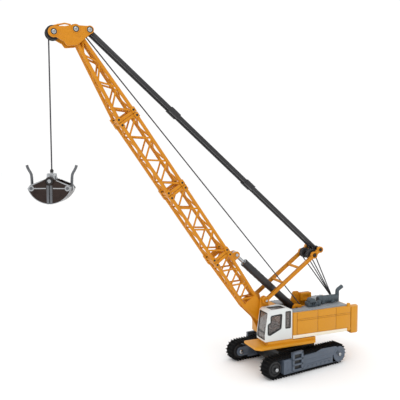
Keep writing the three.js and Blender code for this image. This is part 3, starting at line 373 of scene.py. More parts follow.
def wrapped(discs, steps=10):
    line = []
    for k, (x, z, radius) in enumerate(discs):
        before, after = discs[k - 1], discs[(k + 1) % len(discs)]

        def outward(a, b):
            along = atan2(b[1] - a[1], b[0] - a[0])
            return along - acos((a[2] - b[2]) / hypot(b[0] - a[0], b[1] - a[1]))
        start, end = outward(before, (x, z, radius)), outward((x, z, radius), after)
        while end < start - 1e-9:
            end += 2 * pi
        if radius == 0:
            line.append((x, z))
            continue
        for n in range(steps + 1):
            angle = start + (end - start) * n / steps
            line.append((x + radius * cos(angle), z + radius * sin(angle)))
    return line


def circle(at, radius, steps=28):
    return [polar(at, radius, 360 * n / steps) for n in range(steps)]


def slab(outline, low, high, edge=0.0, plane="xz", holes=()):
    # a flat filled curve with its thickness; the second outline and those after it are holes
    data = bpy.data.curves.new("outline", "CURVE")
    data.dimensions = "2D"
    data.fill_mode = "BOTH"
    data.extrude = (high - low) / 2 - edge
    data.bevel_depth = edge
    data.bevel_resolution = 1
    for line in [outline, *holes]:
        spline = data.splines.new("POLY")
        spline.points.add(len(line) - 1)
        for k, (a, b) in enumerate(line):
            spline.points[k].co = (a, b, 0, 1)
        spline.use_cyclic_u = True
    holder = bpy.data.objects.new("outline", data)
    mesh = bpy.data.meshes.new_from_object(holder)
    middle = (low + high) / 2
    if plane == "xz":
        points = [(v.co.x, middle - v.co.z, v.co.y) for v in mesh.vertices]
    elif plane == "xy":
        points = [(v.co.x, v.co.y, middle + v.co.z) for v in mesh.vertices]
    else:
        points = [(middle + v.co.z, v.co.x, v.co.y) for v in mesh.vertices]
    faces = [list(face.vertices) for face in mesh.polygons]
    bpy.data.objects.remove(holder)
    bpy.data.curves.remove(data)
    bpy.data.meshes.remove(mesh)
    return points, faces


def meshObject(name, shape, material):
    shape = merged(*shape) if isinstance(shape, list) else shape
    mesh = bpy.data.meshes.new(name)
    mesh.from_pydata([place(*p) for p in shape[0]], [], shape[1])
    mesh.materials.append(material)
    made = bpy.data.objects.new(name, mesh)
    scene.collection.objects.link(made)
    return made


def weld(made, distance=1e-6):
    work = bmesh.new()
    work.from_mesh(made.data)
    bmesh.ops.remove_doubles(work, verts=work.verts, dist=distance)
    bmesh.ops.recalc_face_normals(work, faces=work.faces)
    work.to_mesh(made.data)
    work.free()


def applyModifiers(made):
    mesh = bpy.data.meshes.new_from_object(made.evaluated_get(bpy.context.evaluated_depsgraph_get()))
    made.modifiers.clear()
    old = made.data
    made.data = mesh
    bpy.data.meshes.remove(old)


def cutOut(made, *shapes):
    # takes closed shapes out of a piece
    for shape in shapes:
        tool = meshObject("cutter", shape, made.data.materials[0])
        weld(tool)
        knife = made.modifiers.new("cut", "BOOLEAN")
        knife.operation = "DIFFERENCE"
        knife.solver = "EXACT"
        knife.object = tool
        applyModifiers(made)
        bpy.data.objects.remove(tool)


def soften(made, width, segments=2, angle=32):
    edge = made.modifiers.new("edge", "BEVEL")
    edge.width = width / 1000
    edge.segments = segments
    edge.limit_method = "ANGLE"
    edge.angle_limit = radians(angle)
    edge.use_clamp_overlap = True
    applyModifiers(made)


def standIn(made, body):
    # a piece named like a CAD node, as backstopPin for backstop_pin, takes its place
    node = "".join("_" + letter.lower() if letter.isupper() else letter for letter in made.name.split(".")[0])
    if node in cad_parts:
        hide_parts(node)
    if body:
        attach(made, body)
    return made


def settle(made, body, smooth=38):
    for face in made.data.polygons:
        face.use_smooth = True
    made.data.set_sharp_from_angle(angle=radians(smooth))
    return standIn(made, body)


def piece(name, shape, material, body, edge=0.2, smooth=38):
    made = meshObject(name, shape, material)
    weld(made)
    if edge:
        soften(made, edge)
    return settle(made, body, smooth)


# the cords: the fall rope first, then the winch ropes; lengths in millimetres
ropes = {
    "radius": 0.45,
    "tipPin": (167.6, 227.7),
    "deflectorPin": (154.4, 230.3),
    "tipGroove": 1.9,
    "deflectorGroove": 2.6,
    "fallX": 169.35,
    "knotTop": 145.2,
    "drum": (-13.4, 33.4),
    "drumCore": 3.0,
    "guideTube": (7.68, 60.97),
    "mastSheave": (-17.8, 79.5),
    "mastSheaveCentre": 4.0,
    "roofSlot": (-41.0, 43.0),
}


def threadPiece(name, line, body, sides=10):
    # UV: U once round, V in millimetres along
    shape = tubeAlong(line, ropes["radius"], sides)
    made = meshObject(name, shape, ropeThread)
    layer = made.data.uv_layers.new(name="UVMap")
    lengths = [0.0]
    for a, b in zip(line, line[1:]):
        lengths.append(lengths[-1] + (Vector(b) - Vector(a)).length)
    for face in made.data.polygons:
        rings = [made.data.loops[k].vertex_index for k in face.loop_indices]
        wrap = len({v % sides for v in rings} & {0, sides - 1}) == 2 and len(rings) == 4
        for k, v in zip(face.loop_indices, rings):
            spoke = v % sides
            layer.data[k].uv = ((sides if wrap and spoke == 0 else spoke) / sides, lengths[v // sides])
    for face in made.data.polygons:
        face.use_smooth = True
    return standIn(made, body)


def onCircle(centre, radius, turn):
    x, z = polar(centre, radius, turn)
    return (x, 0.0, z)


fallTop = onCircle(ropes["tipPin"], ropes["tipGroove"] + ropes["radius"] + 0.05, 0)
fallLine = [(fallTop[0] + (ropes["fallX"] - fallTop[0]) * (k / 24), 0.0,
        fallTop[2] + (ropes["knotTop"] - fallTop[2]) * k / 24)
            for k in range(25)]
fallRope = threadPiece("fallRope", fallLine, None)
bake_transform(fallRope)
print("cords laid")


def ropeArc(centre, radius, start, end, steps):
    return [onCircle(centre, radius, start + (end - start) * k / steps) for k in range(steps + 1)]


def straight(start, end, steps=2):
    return [tuple(Vector(start).lerp(Vector(end), k / steps)) for k in range(steps + 1)]


def winchRopes(size):
    run = degrees(atan2(size["deflectorPin"][1] - size["drum"][1], size["deflectorPin"][0] - size["drum"][0]))
    drumTop = onCircle(size["drum"], size["drumCore"] + size["radius"] + 0.1, run + 90)
    wrap = size["deflectorGroove"] + size["radius"] + 0.1
    sheaveTop = onCircle(size["deflectorPin"], wrap, run + 90)
    along = (Vector(sheaveTop) - Vector(drumTop)).normalized()
    rest = Vector(drumTop) + along * (Vector((size["guideTube"][0], 0,
            size["guideTube"][1])) - Vector(drumTop)).dot(along)
    threadPiece("hoistRope", straight(rest, sheaveTop, 8), "hoist_line")
    threadPiece("hoistRopeLower", straight(Vector(drumTop) - along * 2.5, rest, 3), "hoist_line_foot")
    apart = Vector(size["tipPin"]) - Vector(size["deflectorPin"])
    tipWrap = size["tipGroove"] + size["radius"] + 0.05
    leave = degrees(atan2(apart.y, apart.x) + acos((wrap - tipWrap) / apart.length))
    line = ropeArc(size["deflectorPin"], wrap, run + 90, leave, 6) + ropeArc(size["tipPin"], tipWrap, leave, 0, 10)
    threadPiece("headRope", line, "boom")
    # the luffing rope: two loops over the mast sheaves, and their house ends
    slot = Vector((size["roofSlot"][0], 0, size["roofSlot"][1]))
    sheave = size["mastSheave"]
    run = degrees(atan2(sheave[1] - slot.z, sheave[0] - slot.x))
    wrap = 2.6 + size["radius"] + 0.1
    feet = []
    for name, side in (("Left", 1), ("Right", -1)):
        y = side * size["mastSheaveCentre"]
        tops = [Vector(onCircle(sheave, wrap, run + edge * 90)) + Vector((0, y, 0)) for edge in (-1, 1)]
        lows = [top.lerp(slot, 0.9) for top in tops]
        loop = [tuple(Vector(p) + Vector((0, y, 0))) for p in ropeArc(sheave, wrap, run - 90, run + 90, 12)]
        line = straight(lows[0], tops[0], 4)[:-1] + loop + straight(tops[1], lows[1], 4)[1:]
        threadPiece("luffingRope" + name, line, "luffing_line", sides=8)
        feet += [straight(top.lerp(slot, 0.5), slot, 3) for top in tops]
    feet.append([tuple(slot), tuple(slot + Vector((1.2, 0, -6))), tuple(slot + Vector((4.6, 0, -10)))])
    for k, line in enumerate(feet):
        threadPiece(f"luffingRopeFoot{k}", line, "luffing_line_foot", sides=8)
    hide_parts("luffing_rope_foot")


winchRopes(ropes)

# boom
boom = {
    "pivot": (23.8, 36.2),
    "angle": 54.92,
    "section": 57.5,
    "halfDepth": 5.84,
    "halfWidth": 6.5,
    "chord": 1.15,
    "lacing": 0.62,
    "joint": 0.15,
    "footHalfWidth": 3.2,
    "headEnd": 229.0,
    "headHalfWidth": 2.4,
    "headLow": 1.4,
    "headHigh": 5.6,
    "bars": (3, 3, 3, 3),
}
boomAngle = radians(boom["angle"])
boomMatrix = Matrix.Translation((boom["pivot"][0], 0, boom["pivot"][1])) @ Matrix.Rotation(-boomAngle, 4, "Y")


def socketId(tree, name):
    return next(s.identifier for s in tree.interface.items_tree if s.name == name and s.in_out == "INPUT")


def nodeTree(name, inputs):
    tree = bpy.data.node_groups.new(name, "GeometryNodeTree")
    tree.interface.new_socket("Geometry", in_out="INPUT", socket_type="NodeSocketGeometry")
    for label, kind in inputs:
        tree.interface.new_socket(label, in_out="INPUT", socket_type=kind)
    tree.interface.new_socket("Geometry", in_out="OUTPUT", socket_type="NodeSocketGeometry")
    return tree, tree.nodes.new("NodeGroupInput").outputs, tree.nodes.new("NodeGroupOutput")


def barTree():
    # loose edges with a barRadius attribute become round bars
    tree, given, result = nodeTree("roundBars", [("Sides", "NodeSocketInt"), ("Finish", "NodeSocketMaterial")])
    lines = addNode(tree, "GeometryNodeMeshToCurve", Mesh=given["Geometry"])
    width = addNode(tree, "GeometryNodeInputNamedAttribute", {"data_type": "FLOAT"}, Name="barRadius")
    sized = addNode(tree, "GeometryNodeSetCurveRadius", Curve=lines, Radius=width)
    ring = addNode(tree, "GeometryNodeCurvePrimitiveCircle", Resolution=given["Sides"])
    ring.inputs["Radius"].default_value = 1.0
    tubes = addNode(tree, "GeometryNodeCurveToMesh", Curve=sized, Profile_Curve=ring)
    tubes.inputs["Fill Caps"].default_value = True
    if "Scale" in tubes.inputs:
        tree.links.new(width.outputs[0], tubes.inputs["Scale"])
    solid = addNode(tree, "GeometryNodeRealizeInstances", Geometry=tubes)
    done = addNode(tree, "GeometryNodeSetMaterial", Geometry=solid, Material=given["Finish"])
    tree.links.new(done.outputs[0], result.inputs[0])
    return tree


roundBars = barTree()


def barPiece(name, bars, material, sides=14):
    points, radii, edges = [], [], []
    for start, end, radius in bars:
        edges.append((len(points), len(points) + 1))
        points += [place(*start), place(*end)]
        radii += [radius / 1000] * 2
    mesh = bpy.data.meshes.new(name)
    mesh.from_pydata(points, edges, [])
    width = mesh.attributes.new("barRadius", "FLOAT", "POINT")
    width.data.foreach_set("value", radii)
    made = bpy.data.objects.new(name, mesh)
    scene.collection.objects.link(made)
    maker = made.modifiers.new("bars", "NODES")
    maker.node_group = roundBars
    maker[socketId(roundBars, "Sides")] = sides
    maker[socketId(roundBars, "Finish")] = material
    applyModifiers(made)
    if "barRadius" in made.data.attributes:
        made.data.attributes.remove(made.data.attributes["barRadius"])
    return made


def joinPieces(name, *pieces):
    # one mesh out of several, for one body
    work = bmesh.new()
    for part in pieces:
        work.from_mesh(part.data)
    target = pieces[0]
    work.to_mesh(target.data)
    work.free()
    for part in pieces[1:]:
        bpy.data.objects.remove(part)
    target.name = name
    return target


def shapeAt(share, start, end):
    return [a + (b - a) * share for a, b in zip(start, end)]


def latticeBars(start, end, bays, size):
    # start and end are (along, half width, low, high)
    def corner(share, side, top):
        along, width, low, high = shapeAt(share, start, end)
        return tuple(boomMatrix @ Vector((along, side * width, high if top > 0 else low)))
    bars = [(corner(0, side, top), corner(1, side, top), size["chord"]) for side in (-1, 1) for top in (-1, 1)]
    edge = 1.3 / (end[0] - start[0])
    for k in range(2 * bays):
        a = edge + (1 - 2 * edge) * k / (2 * bays)
        b = edge + (1 - 2 * edge) * (k + 1) / (2 * bays)
        flip = 1 if k % 2 == 0 else -1
        for side in (-1, 1):
            bars.append((corner(a, side, flip), corner(b, side, -flip), size["lacing"]))
            bars.append((corner(a, flip, side), corner(b, -flip, side), size["lacing"]))
    return bars


def endPlates(along, size, width, low, high, facing):
    # the cross bars and fork lugs where two sections are pinned together
    bar = size["chord"]
    a, b = sorted((along, along + facing * 1.9))
    shapes = []
    for level in (low, high):
        shapes.append(block(a, b, -width - bar, width + bar, level - 0.75, level + 0.75))
        for side in (-1, 1):
            c, d = sorted((along, along + facing * 3.6))
            shapes.append(block(c, d, side * width - 1.5, side * width + 1.5, level - 1.5, level + 1.5))
    for side in (-1, 1):
        shapes.append(block(a, b, side * width - 0.7, side * width + 0.7, low, high))
    return [moved(shape, boomMatrix) for shape in shapes]


def boomSections(size):
    full = (size["halfWidth"], -size["halfDepth"], size["halfDepth"])
    step, gap = size["section"], size["joint"]
    foot = (14.0, size["footHalfWidth"], 0.4 - size["halfDepth"], size["halfDepth"] - 0.4)
    head = (size["headEnd"], size["headHalfWidth"], size["headLow"], size["headHigh"])
    ends = [
        ("Foot", foot, (step - gap, *full)), ("Lower", (step + gap, *full), (2 * step - gap, *full)),
        ("Upper", (2 * step + gap, *full), (3 * step - gap, *full)), ("Head", (3 * step + gap, *full), head),
    ]
    for k, (name, start, end) in enumerate(ends):
        bars = barPiece("bars", latticeBars(start, end, size["bars"][k], size), boomPlastic)
        plates = []
        if name != "Foot":
            plates += endPlates(start[0], size, *start[1:], 1)
        if name != "Head":
            plates += endPlates(end[0], size, *end[1:], -1)
        else:
            plates += [moved(block(226.5, 229.6, -3.4, 3.4, 0.2, 7.0), boomMatrix)]
        if name == "Foot":
            plates += footPlates(size)
        lugs = meshObject("plates", plates, boomPlastic)
        weld(lugs)
        soften(lugs, 0.22)
        settle(joinPieces("boom" + name + "Section", bars, lugs), "boom")
    pins = []
    for joint in (1, 2, 3):
        for side in (-1, 1):
            for level in (-size["halfDepth"], size["halfDepth"]):
                for offset in (-2.0, 2.0):
                    a = (joint * step + offset, side * size["halfWidth"] - 1.75, level)
                    b = (joint * step + offset, side * size["halfWidth"] + 1.75, level)
                    pins.append(moved(rod(a, b, 0.72, 14), boomMatrix))
    piece("sectionPins", pins, blackPartsAndSlotShade, "boom", edge=0.1)


def onBoom(x, z):
    spot = boomMatrix.inverted() @ Vector((x, 0, z))
    return spot.x, spot.z


def footPlates(size):
    reach, depth = 16.0, size["halfDepth"] - 0.4
    outline = wrapped([(0, 0, 3.4), (reach, -depth, 1.0), (reach, depth, 1.0)])
    lug = onBoom(43.2, 83.1)
    arm = wrapped([(size["section"] - 4.4, size["halfDepth"] - 0.4, 0.8), (*lug, 2.3),
            (lug[0] - 1.6, size["halfDepth"] + 0.8, 0.9)])
    shapes = []
    for side in (1, -1):
        web = slab(outline, 3.2, 4.4, 0.15, holes=[circle((0, 0), 1.6)])
        ear = slab(arm, 1.9, 3.0, 0.12, holes=[circle(lug, 1.15)])
        shapes += [onSide(side, web), onSide(side, ear)]
    shapes.append(block(15.0, 17.4, -3.2, 3.2, -3.6, -2.4))
    shapes.append(block(15.0, 17.4, -3.2, 3.2, 2.4, 3.6))
    shapes.append(block(size["section"] - 7.2, size["section"] - 4.6, -size["halfWidth"], size["halfWidth"],
            size["halfDepth"] - 0.6, size["halfDepth"] + 0.8))
    return [moved(shape, boomMatrix) for shape in shapes]


boomSections(boom)
print("boom built")

# boom head
head = {
    "tip": (167.6, 227.7),
    "deflector": (154.4, 230.3),
    "pendant": (145.9, 230.5),
    "plate": (4.0, 5.2),
    "sheaves": (("tip", 4.5, 1.9), ("deflector", 3.6, 2.6)),
    "sheaveHalf": 2.1,
    "bore": 1.55,
}


def sheaveRows(radius, groove, half, bore, centre=0.0):
    # a rounded rope groove between two dished flanges with a raised hub
    rows = [(bore, -half), (2.3, -half), (2.45, 0.35 - half), (radius - 0.75, 0.35 - half), (radius - 0.55, -half),
            (radius, 0.2 - half)]
    steps = 8
    for k in range(steps + 1):
        angle = pi * k / steps
        rows.append((groove + (radius - groove) * (1 - sin(angle)) if 0 < k < steps else radius,
                -cos(angle) * (half - 0.5)))
    rows += [(radius, half - 0.2), (radius - 0.55, half), (radius - 0.75, half - 0.35), (2.45, half - 0.35),
            (2.3, half), (bore, half)]
    return [(r, y + centre) for r, y in rows]


def boomHead(size):
    tip, deflector, pendant = size["tip"], size["deflector"], size["pendant"]
    outline = arcLine(tip, 3.2, -115, 80, 14) + [(tip[0] - 6.8, tip[1] + 3.6)] + arcLine(deflector, 2.9, 50, 130, 8)
    outline += arcLine(pendant, 2.1, 80, 235, 8)
    outline += roundedOutline([(148.2, 225.8), (150.4, 223.6), (153.8, 220.8), (159.6, 220.0), (161.3, 222.3)],
            [0, 0.8, 1.2, 1.2, 0])
    holes = [circle(pin, 1.5) for pin in (tip, deflector, pendant)] + [circle((157.6, 222.6), 0.9),
            circle((152.2, 225.8), 0.8)]
    for name, side in (("Left", 1), ("Right", -1)):
        plate = slab(outline, *size["plate"], 0.16, holes=holes)
        rims = [washer(pin, 1.9, 2.5, 5.1, 5.5, 32) for pin in (tip, deflector, pendant)]
        shape = merged(plate, *rims)
        piece("headPlate" + name, onSide(side, shape), boomPlastic, "boom", edge=0)
    spacers = [crossRod((157.6, 222.6), -5.1, 5.1, 0.8), crossRod((152.2, 225.8), -5.1, 5.1, 0.7),
            crossRod((164.9, 232.0), -4.6, 4.6, 0.7)]
    piece("headSpacers", spacers, boomPlastic, "boom", edge=0.15)
    washers = [washer(pin, 1.38, 1.88, y, y + 0.15, 32) for pin in (tip, deflector, pendant) for y in (-5.35, 5.2)]
    piece("headWashers", washers, blackPartsAndSlotShade, "boom", edge=0)
    rail = [(157.4, 4.6, 232.6), (161.0, 4.6, 233.1), (164.9, 4.6, 232.0), (167.6, 4.6, 231.2)]
    guards = both(tubeAlong(rail, 0.5, 10))
    piece("headGuards", guards, boomPlastic, "boom", edge=0)
    for name, radius, groove in size["sheaves"]:
        shape = spun(size[name], sheaveRows(radius, groove, size["sheaveHalf"], size["bore"]), 48)
        piece(name + "Sheave", shape, wheelPlastic, name + "_wheel", edge=0, smooth=50)
    for name in ("tip", "deflector", "pendant"):
        rows = [(0, -5.7), (0.5, -5.7), (0.7, -5.95), (1.1, -5.85), (1.35, -5.6), (1.35, 5.6), (1.1, 5.85),
                (0.7, 5.95), (0.5, 5.7), (0, 5.7)]
        piece(name + "Pin", turned(size[name], rows, 32), brightChrome, "boom", edge=0)


boomHead(head)
print("head built")

# crawler
crawler = {
    "yaw": 8.3,
    "front": 30.5,
    "rear": -28.5,
    "axle": 7.45,
    "wheel": 5.3,
    "path": 6.3,
    "links": 68,
    "belt": (16.6, 25.0),
    "cover": (25.3, 26.2),
    "inner": 16.3,
    "beam": (-22.0, 23.6),
    "step": (7.6, 17.0),
    "stepSlots": (6.2, 10.0, 13.7),
}
crawlerMatrix = Matrix.Rotation(radians(crawler["yaw"]), 4, "Z")


def linkTree():
    # one link for every even step round a closed loop, each turned to the loop's run
    tree, given, result = nodeTree("trackLinks", [("Link", "NodeSocketObject"), ("Count", "NodeSocketInt"),
            ("Finish", "NodeSocketMaterial")])
    loop = addNode(tree, "GeometryNodeMeshToCurve", Mesh=given["Geometry"])
    steps = addNode(tree, "GeometryNodeResampleCurve", Curve=loop)
    tree.links.new(given["Count"], steps.inputs["Count"])
    along = addNode(tree, "GeometryNodeInputTangent")
    turn = addNode(tree, "FunctionNodeAlignRotationToVector", {"axis": "X", "pivot_axis": "Y"}, Vector=along)
    link = addNode(tree, "GeometryNodeObjectInfo", Object=given["Link"])
    row = addNode(tree, "GeometryNodeInstanceOnPoints", Points=steps, Instance=link.outputs["Geometry"],
            Rotation=turn)
    solid = addNode(tree, "GeometryNodeRealizeInstances", Geometry=row)
    done = addNode(tree, "GeometryNodeSetMaterial", Geometry=solid, Material=given["Finish"])
    tree.links.new(done.outputs[0], result.inputs[0])
    return tree


trackLinks = linkTree()


def loopPoints(size, radius, steps=28):
    ends = ((size["front"], -90), (size["rear"], 90))
    return [spot for x, start in ends for spot in arcLine((x, size["axle"]), radius, start, start + 180, steps)]


def linkShape(half):
    pad = block(-0.9, 0.9, -half, half, -0.45, 0.05)
    bar = block(-0.36, 0.22, -half, half, 0.0, 1.12)
    lug = [block(-0.9, 0.9, side * (half - 1.5) - 0.55, side * (half - 1.5) + 0.55, 0.0, 0.5) for side in (-1, 1)]
    hinge = [block(0.7, 1.28, side * (half - 0.6) - 0.5, side * (half - 0.6) + 0.5, -0.4, -0.05) for side in (-1, 1)]
    return merged(pad, bar, *lug, *hinge)


def trackBelt(size, name, side):
    low, high = size["belt"]
    half, middle = (high - low) / 2, side * (low + high) / 2
    path = loopPoints(size, size["path"])[::-1]
    edges = [(k, (k + 1) % len(path)) for k in range(len(path))]
    mesh = bpy.data.meshes.new(name)
    mesh.from_pydata([place(x, middle, z) for x, z in path], edges, [])
    made = bpy.data.objects.new(name, mesh)
    scene.collection.objects.link(made)
    shape = linkShape(half)
    pattern = meshObject("link", ([(x, y, z + bellyClearance) for x, y, z in shape[0]], shape[1]), trackRubber)
    weld(pattern)
    soften(pattern, 0.09, 1)
    maker = made.modifiers.new("links", "NODES")
    maker.node_group = trackLinks
    maker[socketId(trackLinks, "Link")] = pattern
    maker[socketId(trackLinks, "Count")] = size["links"]
    maker[socketId(trackLinks, "Finish")] = trackRubber
    applyModifiers(made)
    bpy.data.objects.remove(pattern)
    y0, y1 = sorted((middle - half + 0.15, middle + half - 0.15))
    band = meshObject("band", slab(loopPoints(size, 5.95), y0, y1, 0.05, holes=[loopPoints(size, 5.62)]), trackRubber)
    made = joinPieces(name, made, band)
    made.data.transform(crawlerMatrix)
    return made


def trackWheel(size, toothed):
    inner, outer = size["belt"][0] + 0.4, size["belt"][1] - 0.3
    rows = [(1.2, inner), (3.2, inner), (3.4, inner + 0.5), (4.3, inner + 0.5), (4.5, inner), (4.9, inner),
            (5.3, inner + 0.4), (5.3, outer - 0.5),
            (4.95, outer - 0.1), (4.3, outer - 0.1), (4.1, outer - 0.9), (3.4, outer - 0.9), (3.2, outer - 0.1),
            (3.0, outer + 0.15), (2.2, outer + 0.15),
            (2.1, outer - 0.1), (1.2, outer - 0.1)]
    shapes = [spun((0, 0), rows, 48)]
    for k in range(10 if toothed else 8):
        angle = 2 * pi * k / (10 if toothed else 8)
        spot = (3.75 * cos(angle), 3.75 * sin(angle))
        shapes.append(crossRod(spot, outer - 1.0, outer - 0.35, 0.32, 10))
    return merged(*shapes)


def trackFrame(size):
    low, high = size["axle"] - 4.9, size["axle"] + 4.9
    rear, front = size["beam"]
    y0, y1 = size["cover"]
    bores = [circle((x, size["axle"]), 1.2) for x in (size["front"], size["rear"])]
    inside = wrapped([(size["rear"], size["axle"], 3.2), (size["front"], size["axle"], 3.2)])
    cover = roundedOutline([(-29, 2.25), (20.6, 3.25), (23.6, 3.85), (23.6, 11.85), (-6, 12.85), (-11, 14.25),
            (-26.5, 13.65)], [2.2, 0.5, 0.4, 0.8, 1.5, 2.0, 3.0])
    shapes = [
        block(rear, front, size["inner"] - 0.9, y1 - 0.35, low, high),
        slab(inside, size["inner"] - 0.9, size["inner"], 0.1, holes=bores),
        slab(cover, y0, y1 - 0.25, 0.12, holes=[bores[1]]),
        spun((size["rear"], size["axle"]), [(1.2, y0), (5.5, y0), (5.6, y0 + 0.2), (5.6, y1 - 0.15), (5.4, y1),
            (3.9, y1), (3.7, y1 - 0.25), (1.2, y1 - 0.25)], 48),
        block(-20.5, 6.9, y1 - 0.3, y1, 8.7, 9.4), block(-20.5, 6.9, y1 - 0.3, y1, 5.6, 6.2),
            block(-18.5, 6.9, y1 - 0.3, y1, 11.7, 12.3),
        block(18.0, 22.8, y1 - 0.3, y1, 10.6, 11.2), block(18.0, 22.8, y1 - 0.3, y1, 4.6, 5.2),
        block(20.2, 21.0, y1 - 0.3, y1, 5.0, 10.8),
    ]
    for k in range(7):
        shapes.append(crossRod((-19.0 + 4.1 * k, 4.0 + 0.03 * k), y1 - 0.4, y1, 0.75, 16))
    a, b = size["step"]
    posts = [block(a, a + 1.5, y0, y1 + 1.1, 4.0, 17.0), block(b - 1.5, b, y0, y1 + 1.1, 4.0, 17.0)]
    rungs = [block(a + 0.2, b - 0.2, y0, y1 - 0.45, 4.2, 16.8), block(a, b, y0, y1 + 1.1, 4.0, 4.9),
            block(a, b, y0, y1 + 1.1, 15.4, 17.0)]
    for height in ((size["stepSlots"][0] + size["stepSlots"][1]) / 2,
            (size["stepSlots"][1] + size["stepSlots"][2]) / 2):
        rungs.append(block(a, b, y0, y1 + 1.1, height - 0.55, height + 0.55))
    return merged(*shapes, *posts, *rungs)


def crawlerUnit(size):
    # black blocks fill the openings between the step rungs: painted shade in the recesses
    slotShadeBlocks = []
    a, b = size["step"]
    for height in size["stepSlots"]:
        slotShadeBlocks.append(block(a + 1.4, b - 1.4, size["cover"][1] - 0.5, size["cover"][1] - 0.02, height - 1.5,
                height + 1.5))
    for sideName, side in (("left", 1), ("right", -1)):
        def put(shape):
            return moved(onSide(side, shape), crawlerMatrix)
        settle(trackBelt(size, sideName + "TrackBelt", side), "undercarriage")
        piece(sideName + "TrackFrame", put(trackFrame(size)), framePlastic, "undercarriage", edge=0.14)
        piece(sideName + "StepSlots", put(merged(*slotShadeBlocks)), blackPartsAndSlotShade, "undercarriage", edge=0)
        for wheel, x in (("idler", size["front"]), ("sprocket", size["rear"])):
            shape = trackWheel(size, wheel == "sprocket")
            shape = ([(px + x, y, z + size["axle"]) for px, y, z in shape[0]], shape[1])
            piece(sideName + wheel.capitalize(), put(shape), wheelPlastic, f"{sideName}_{wheel}_wheel", edge=0)
        for end, x in (("front", size["front"]), ("rear", size["rear"])):
            start = size["cover"][1] + 0.3
            inner = size["inner"] - 1.2
            rows = [(0, inner - 0.8), (0.9, inner - 0.75), (1.5, inner - 0.4), (1.6, inner - 0.1), (1.6, inner),
                    (1.0, inner), (1.0, start), (1.35, start),
                    (1.35, start + 0.2), (1.15, start + 0.5), (0.75, start + 0.72), (0.35, start + 0.79),
                    (0, start + 0.8)]
            piece(f"{sideName}{end.capitalize()}Axle", put(turned((x, size["axle"]), rows, 32)), brightChrome,
                    "undercarriage", edge=0, smooth=50)
    body = [block(-16, 18, -13, 13, 4.6, 14.0), block(-15, 17, -12, 12, 4.2, 5.0)]
    for x in (-12.0, 14.0):
        body.append(block(x - 4, x + 4, -15.1, 15.1, 5.4, 12.0))
        body += [block(x - 0.4, x + 0.4, -14.9, 14.9, 11.9, 12.6)]
    piece("carbody", moved(merged(*body), crawlerMatrix), carbodyEnamel, "undercarriage", edge=0.3)


crawlerUnit(crawler)
print("crawler built")

# the deck and the house
house = {
    "deck": (18.6, 20.3, 22.0, 22.9),
    "front": 6.2,
    "rear": -44.5,
    "half": 18.4,
    "low": 22.3,
    "top": 41.2,
    "wall": 1.5,
    "roof": (40.5, 41.8),
    "weight": (-53.4, -44.8),
    "weightTop": 40.3,
    "seams": (5.9, 2.6, -15.0, -31.0, -44.2),
    "drums": ((-13.4, 33.4), (-38.6, 31.5)),
}


def rivetTree():
    # a small domed head on every point
    tree, given, result = nodeTree("rivetHeads", [("Size", "NodeSocketFloat"), ("Finish", "NodeSocketMaterial")])
    dots = addNode(tree, "GeometryNodeMeshToPoints", Mesh=given["Geometry"])
    dome = addNode(tree, "GeometryNodeMeshUVSphere", Segments=12, Rings=6, Radius=given["Size"])
    row = addNode(tree, "GeometryNodeInstanceOnPoints", Points=dots, Instance=dome)
    solid = addNode(tree, "GeometryNodeRealizeInstances", Geometry=row)
    done = addNode(tree, "GeometryNodeSetMaterial", Geometry=solid, Material=given["Finish"])
    tree.links.new(done.outputs[0], result.inputs[0])
    return tree


rivetHeads = rivetTree()


def rivets(name, spots, radius, material, body):
    mesh = bpy.data.meshes.new(name)
    mesh.from_pydata([place(*p) for p in spots], [], [])
    made = bpy.data.objects.new(name, mesh)
    scene.collection.objects.link(made)
    maker = made.modifiers.new("heads", "NODES")
    maker.node_group = rivetHeads
    maker[socketId(rivetHeads, "Size")] = radius / 1000
    maker[socketId(rivetHeads, "Finish")] = material
    applyModifiers(made)
    return settle(made, body)


def deckPiece(size):
    low, plateTop, beamTop, top = size["deck"]
    outline = roundedOutline([(36.4, 1.8), (36.4, 18.3), (33.3, 21.4), (-10.8, 21.4), (-13.2, 18.0), (-13.8, -5.6),
            (-11.8, -18.2), (13, -18.2),
                              (19.4, -7.4), (21.2, -6.8), (23.6, 1.8)],
            [0.6, 1.2, 1.2, 0.8, 0.5, 0, 0.8, 0.8, 0.8, 0.6, 0.6])
    raised = [(26.4, 6.2), (26.4, 18.4), (6.5, 18.4), (6.5, -6.8), (20.8, -6.8), (20.8, 6.2)]
    shapes = [
        slab(outline, low, plateTop, 0.2, "xy", holes=[circle((0, 0), 3.3)]),
        slab(raised, plateTop - 0.5, top, 0.12, "xy"),
        slab([(-13.0, -17.2), (6.6, -17.2), (6.6, 18.3), (-13.0, 18.3)], plateTop - 0.4, beamTop, 0.12, "xy",
            holes=[circle((0, 0), 3.3)]),
        block(-44.2, -13.2, -8.5, 8.5, low + 0.8, beamTop),
        block(-43.5, -14.0, -7.4, -6.2, low + 0.2, low + 1.0), block(-43.5, -14.0, 6.2, 7.4, low + 0.2, low + 1.0),
        spun((0, 0), [(3.3, 16.5), (12.2, 16.5), (12.5, 16.8), (12.5, 19.0), (3.3, 19.0)], 64, "z"),
    ]
    piece("deck", shapes, castEnamel, "house", edge=0)


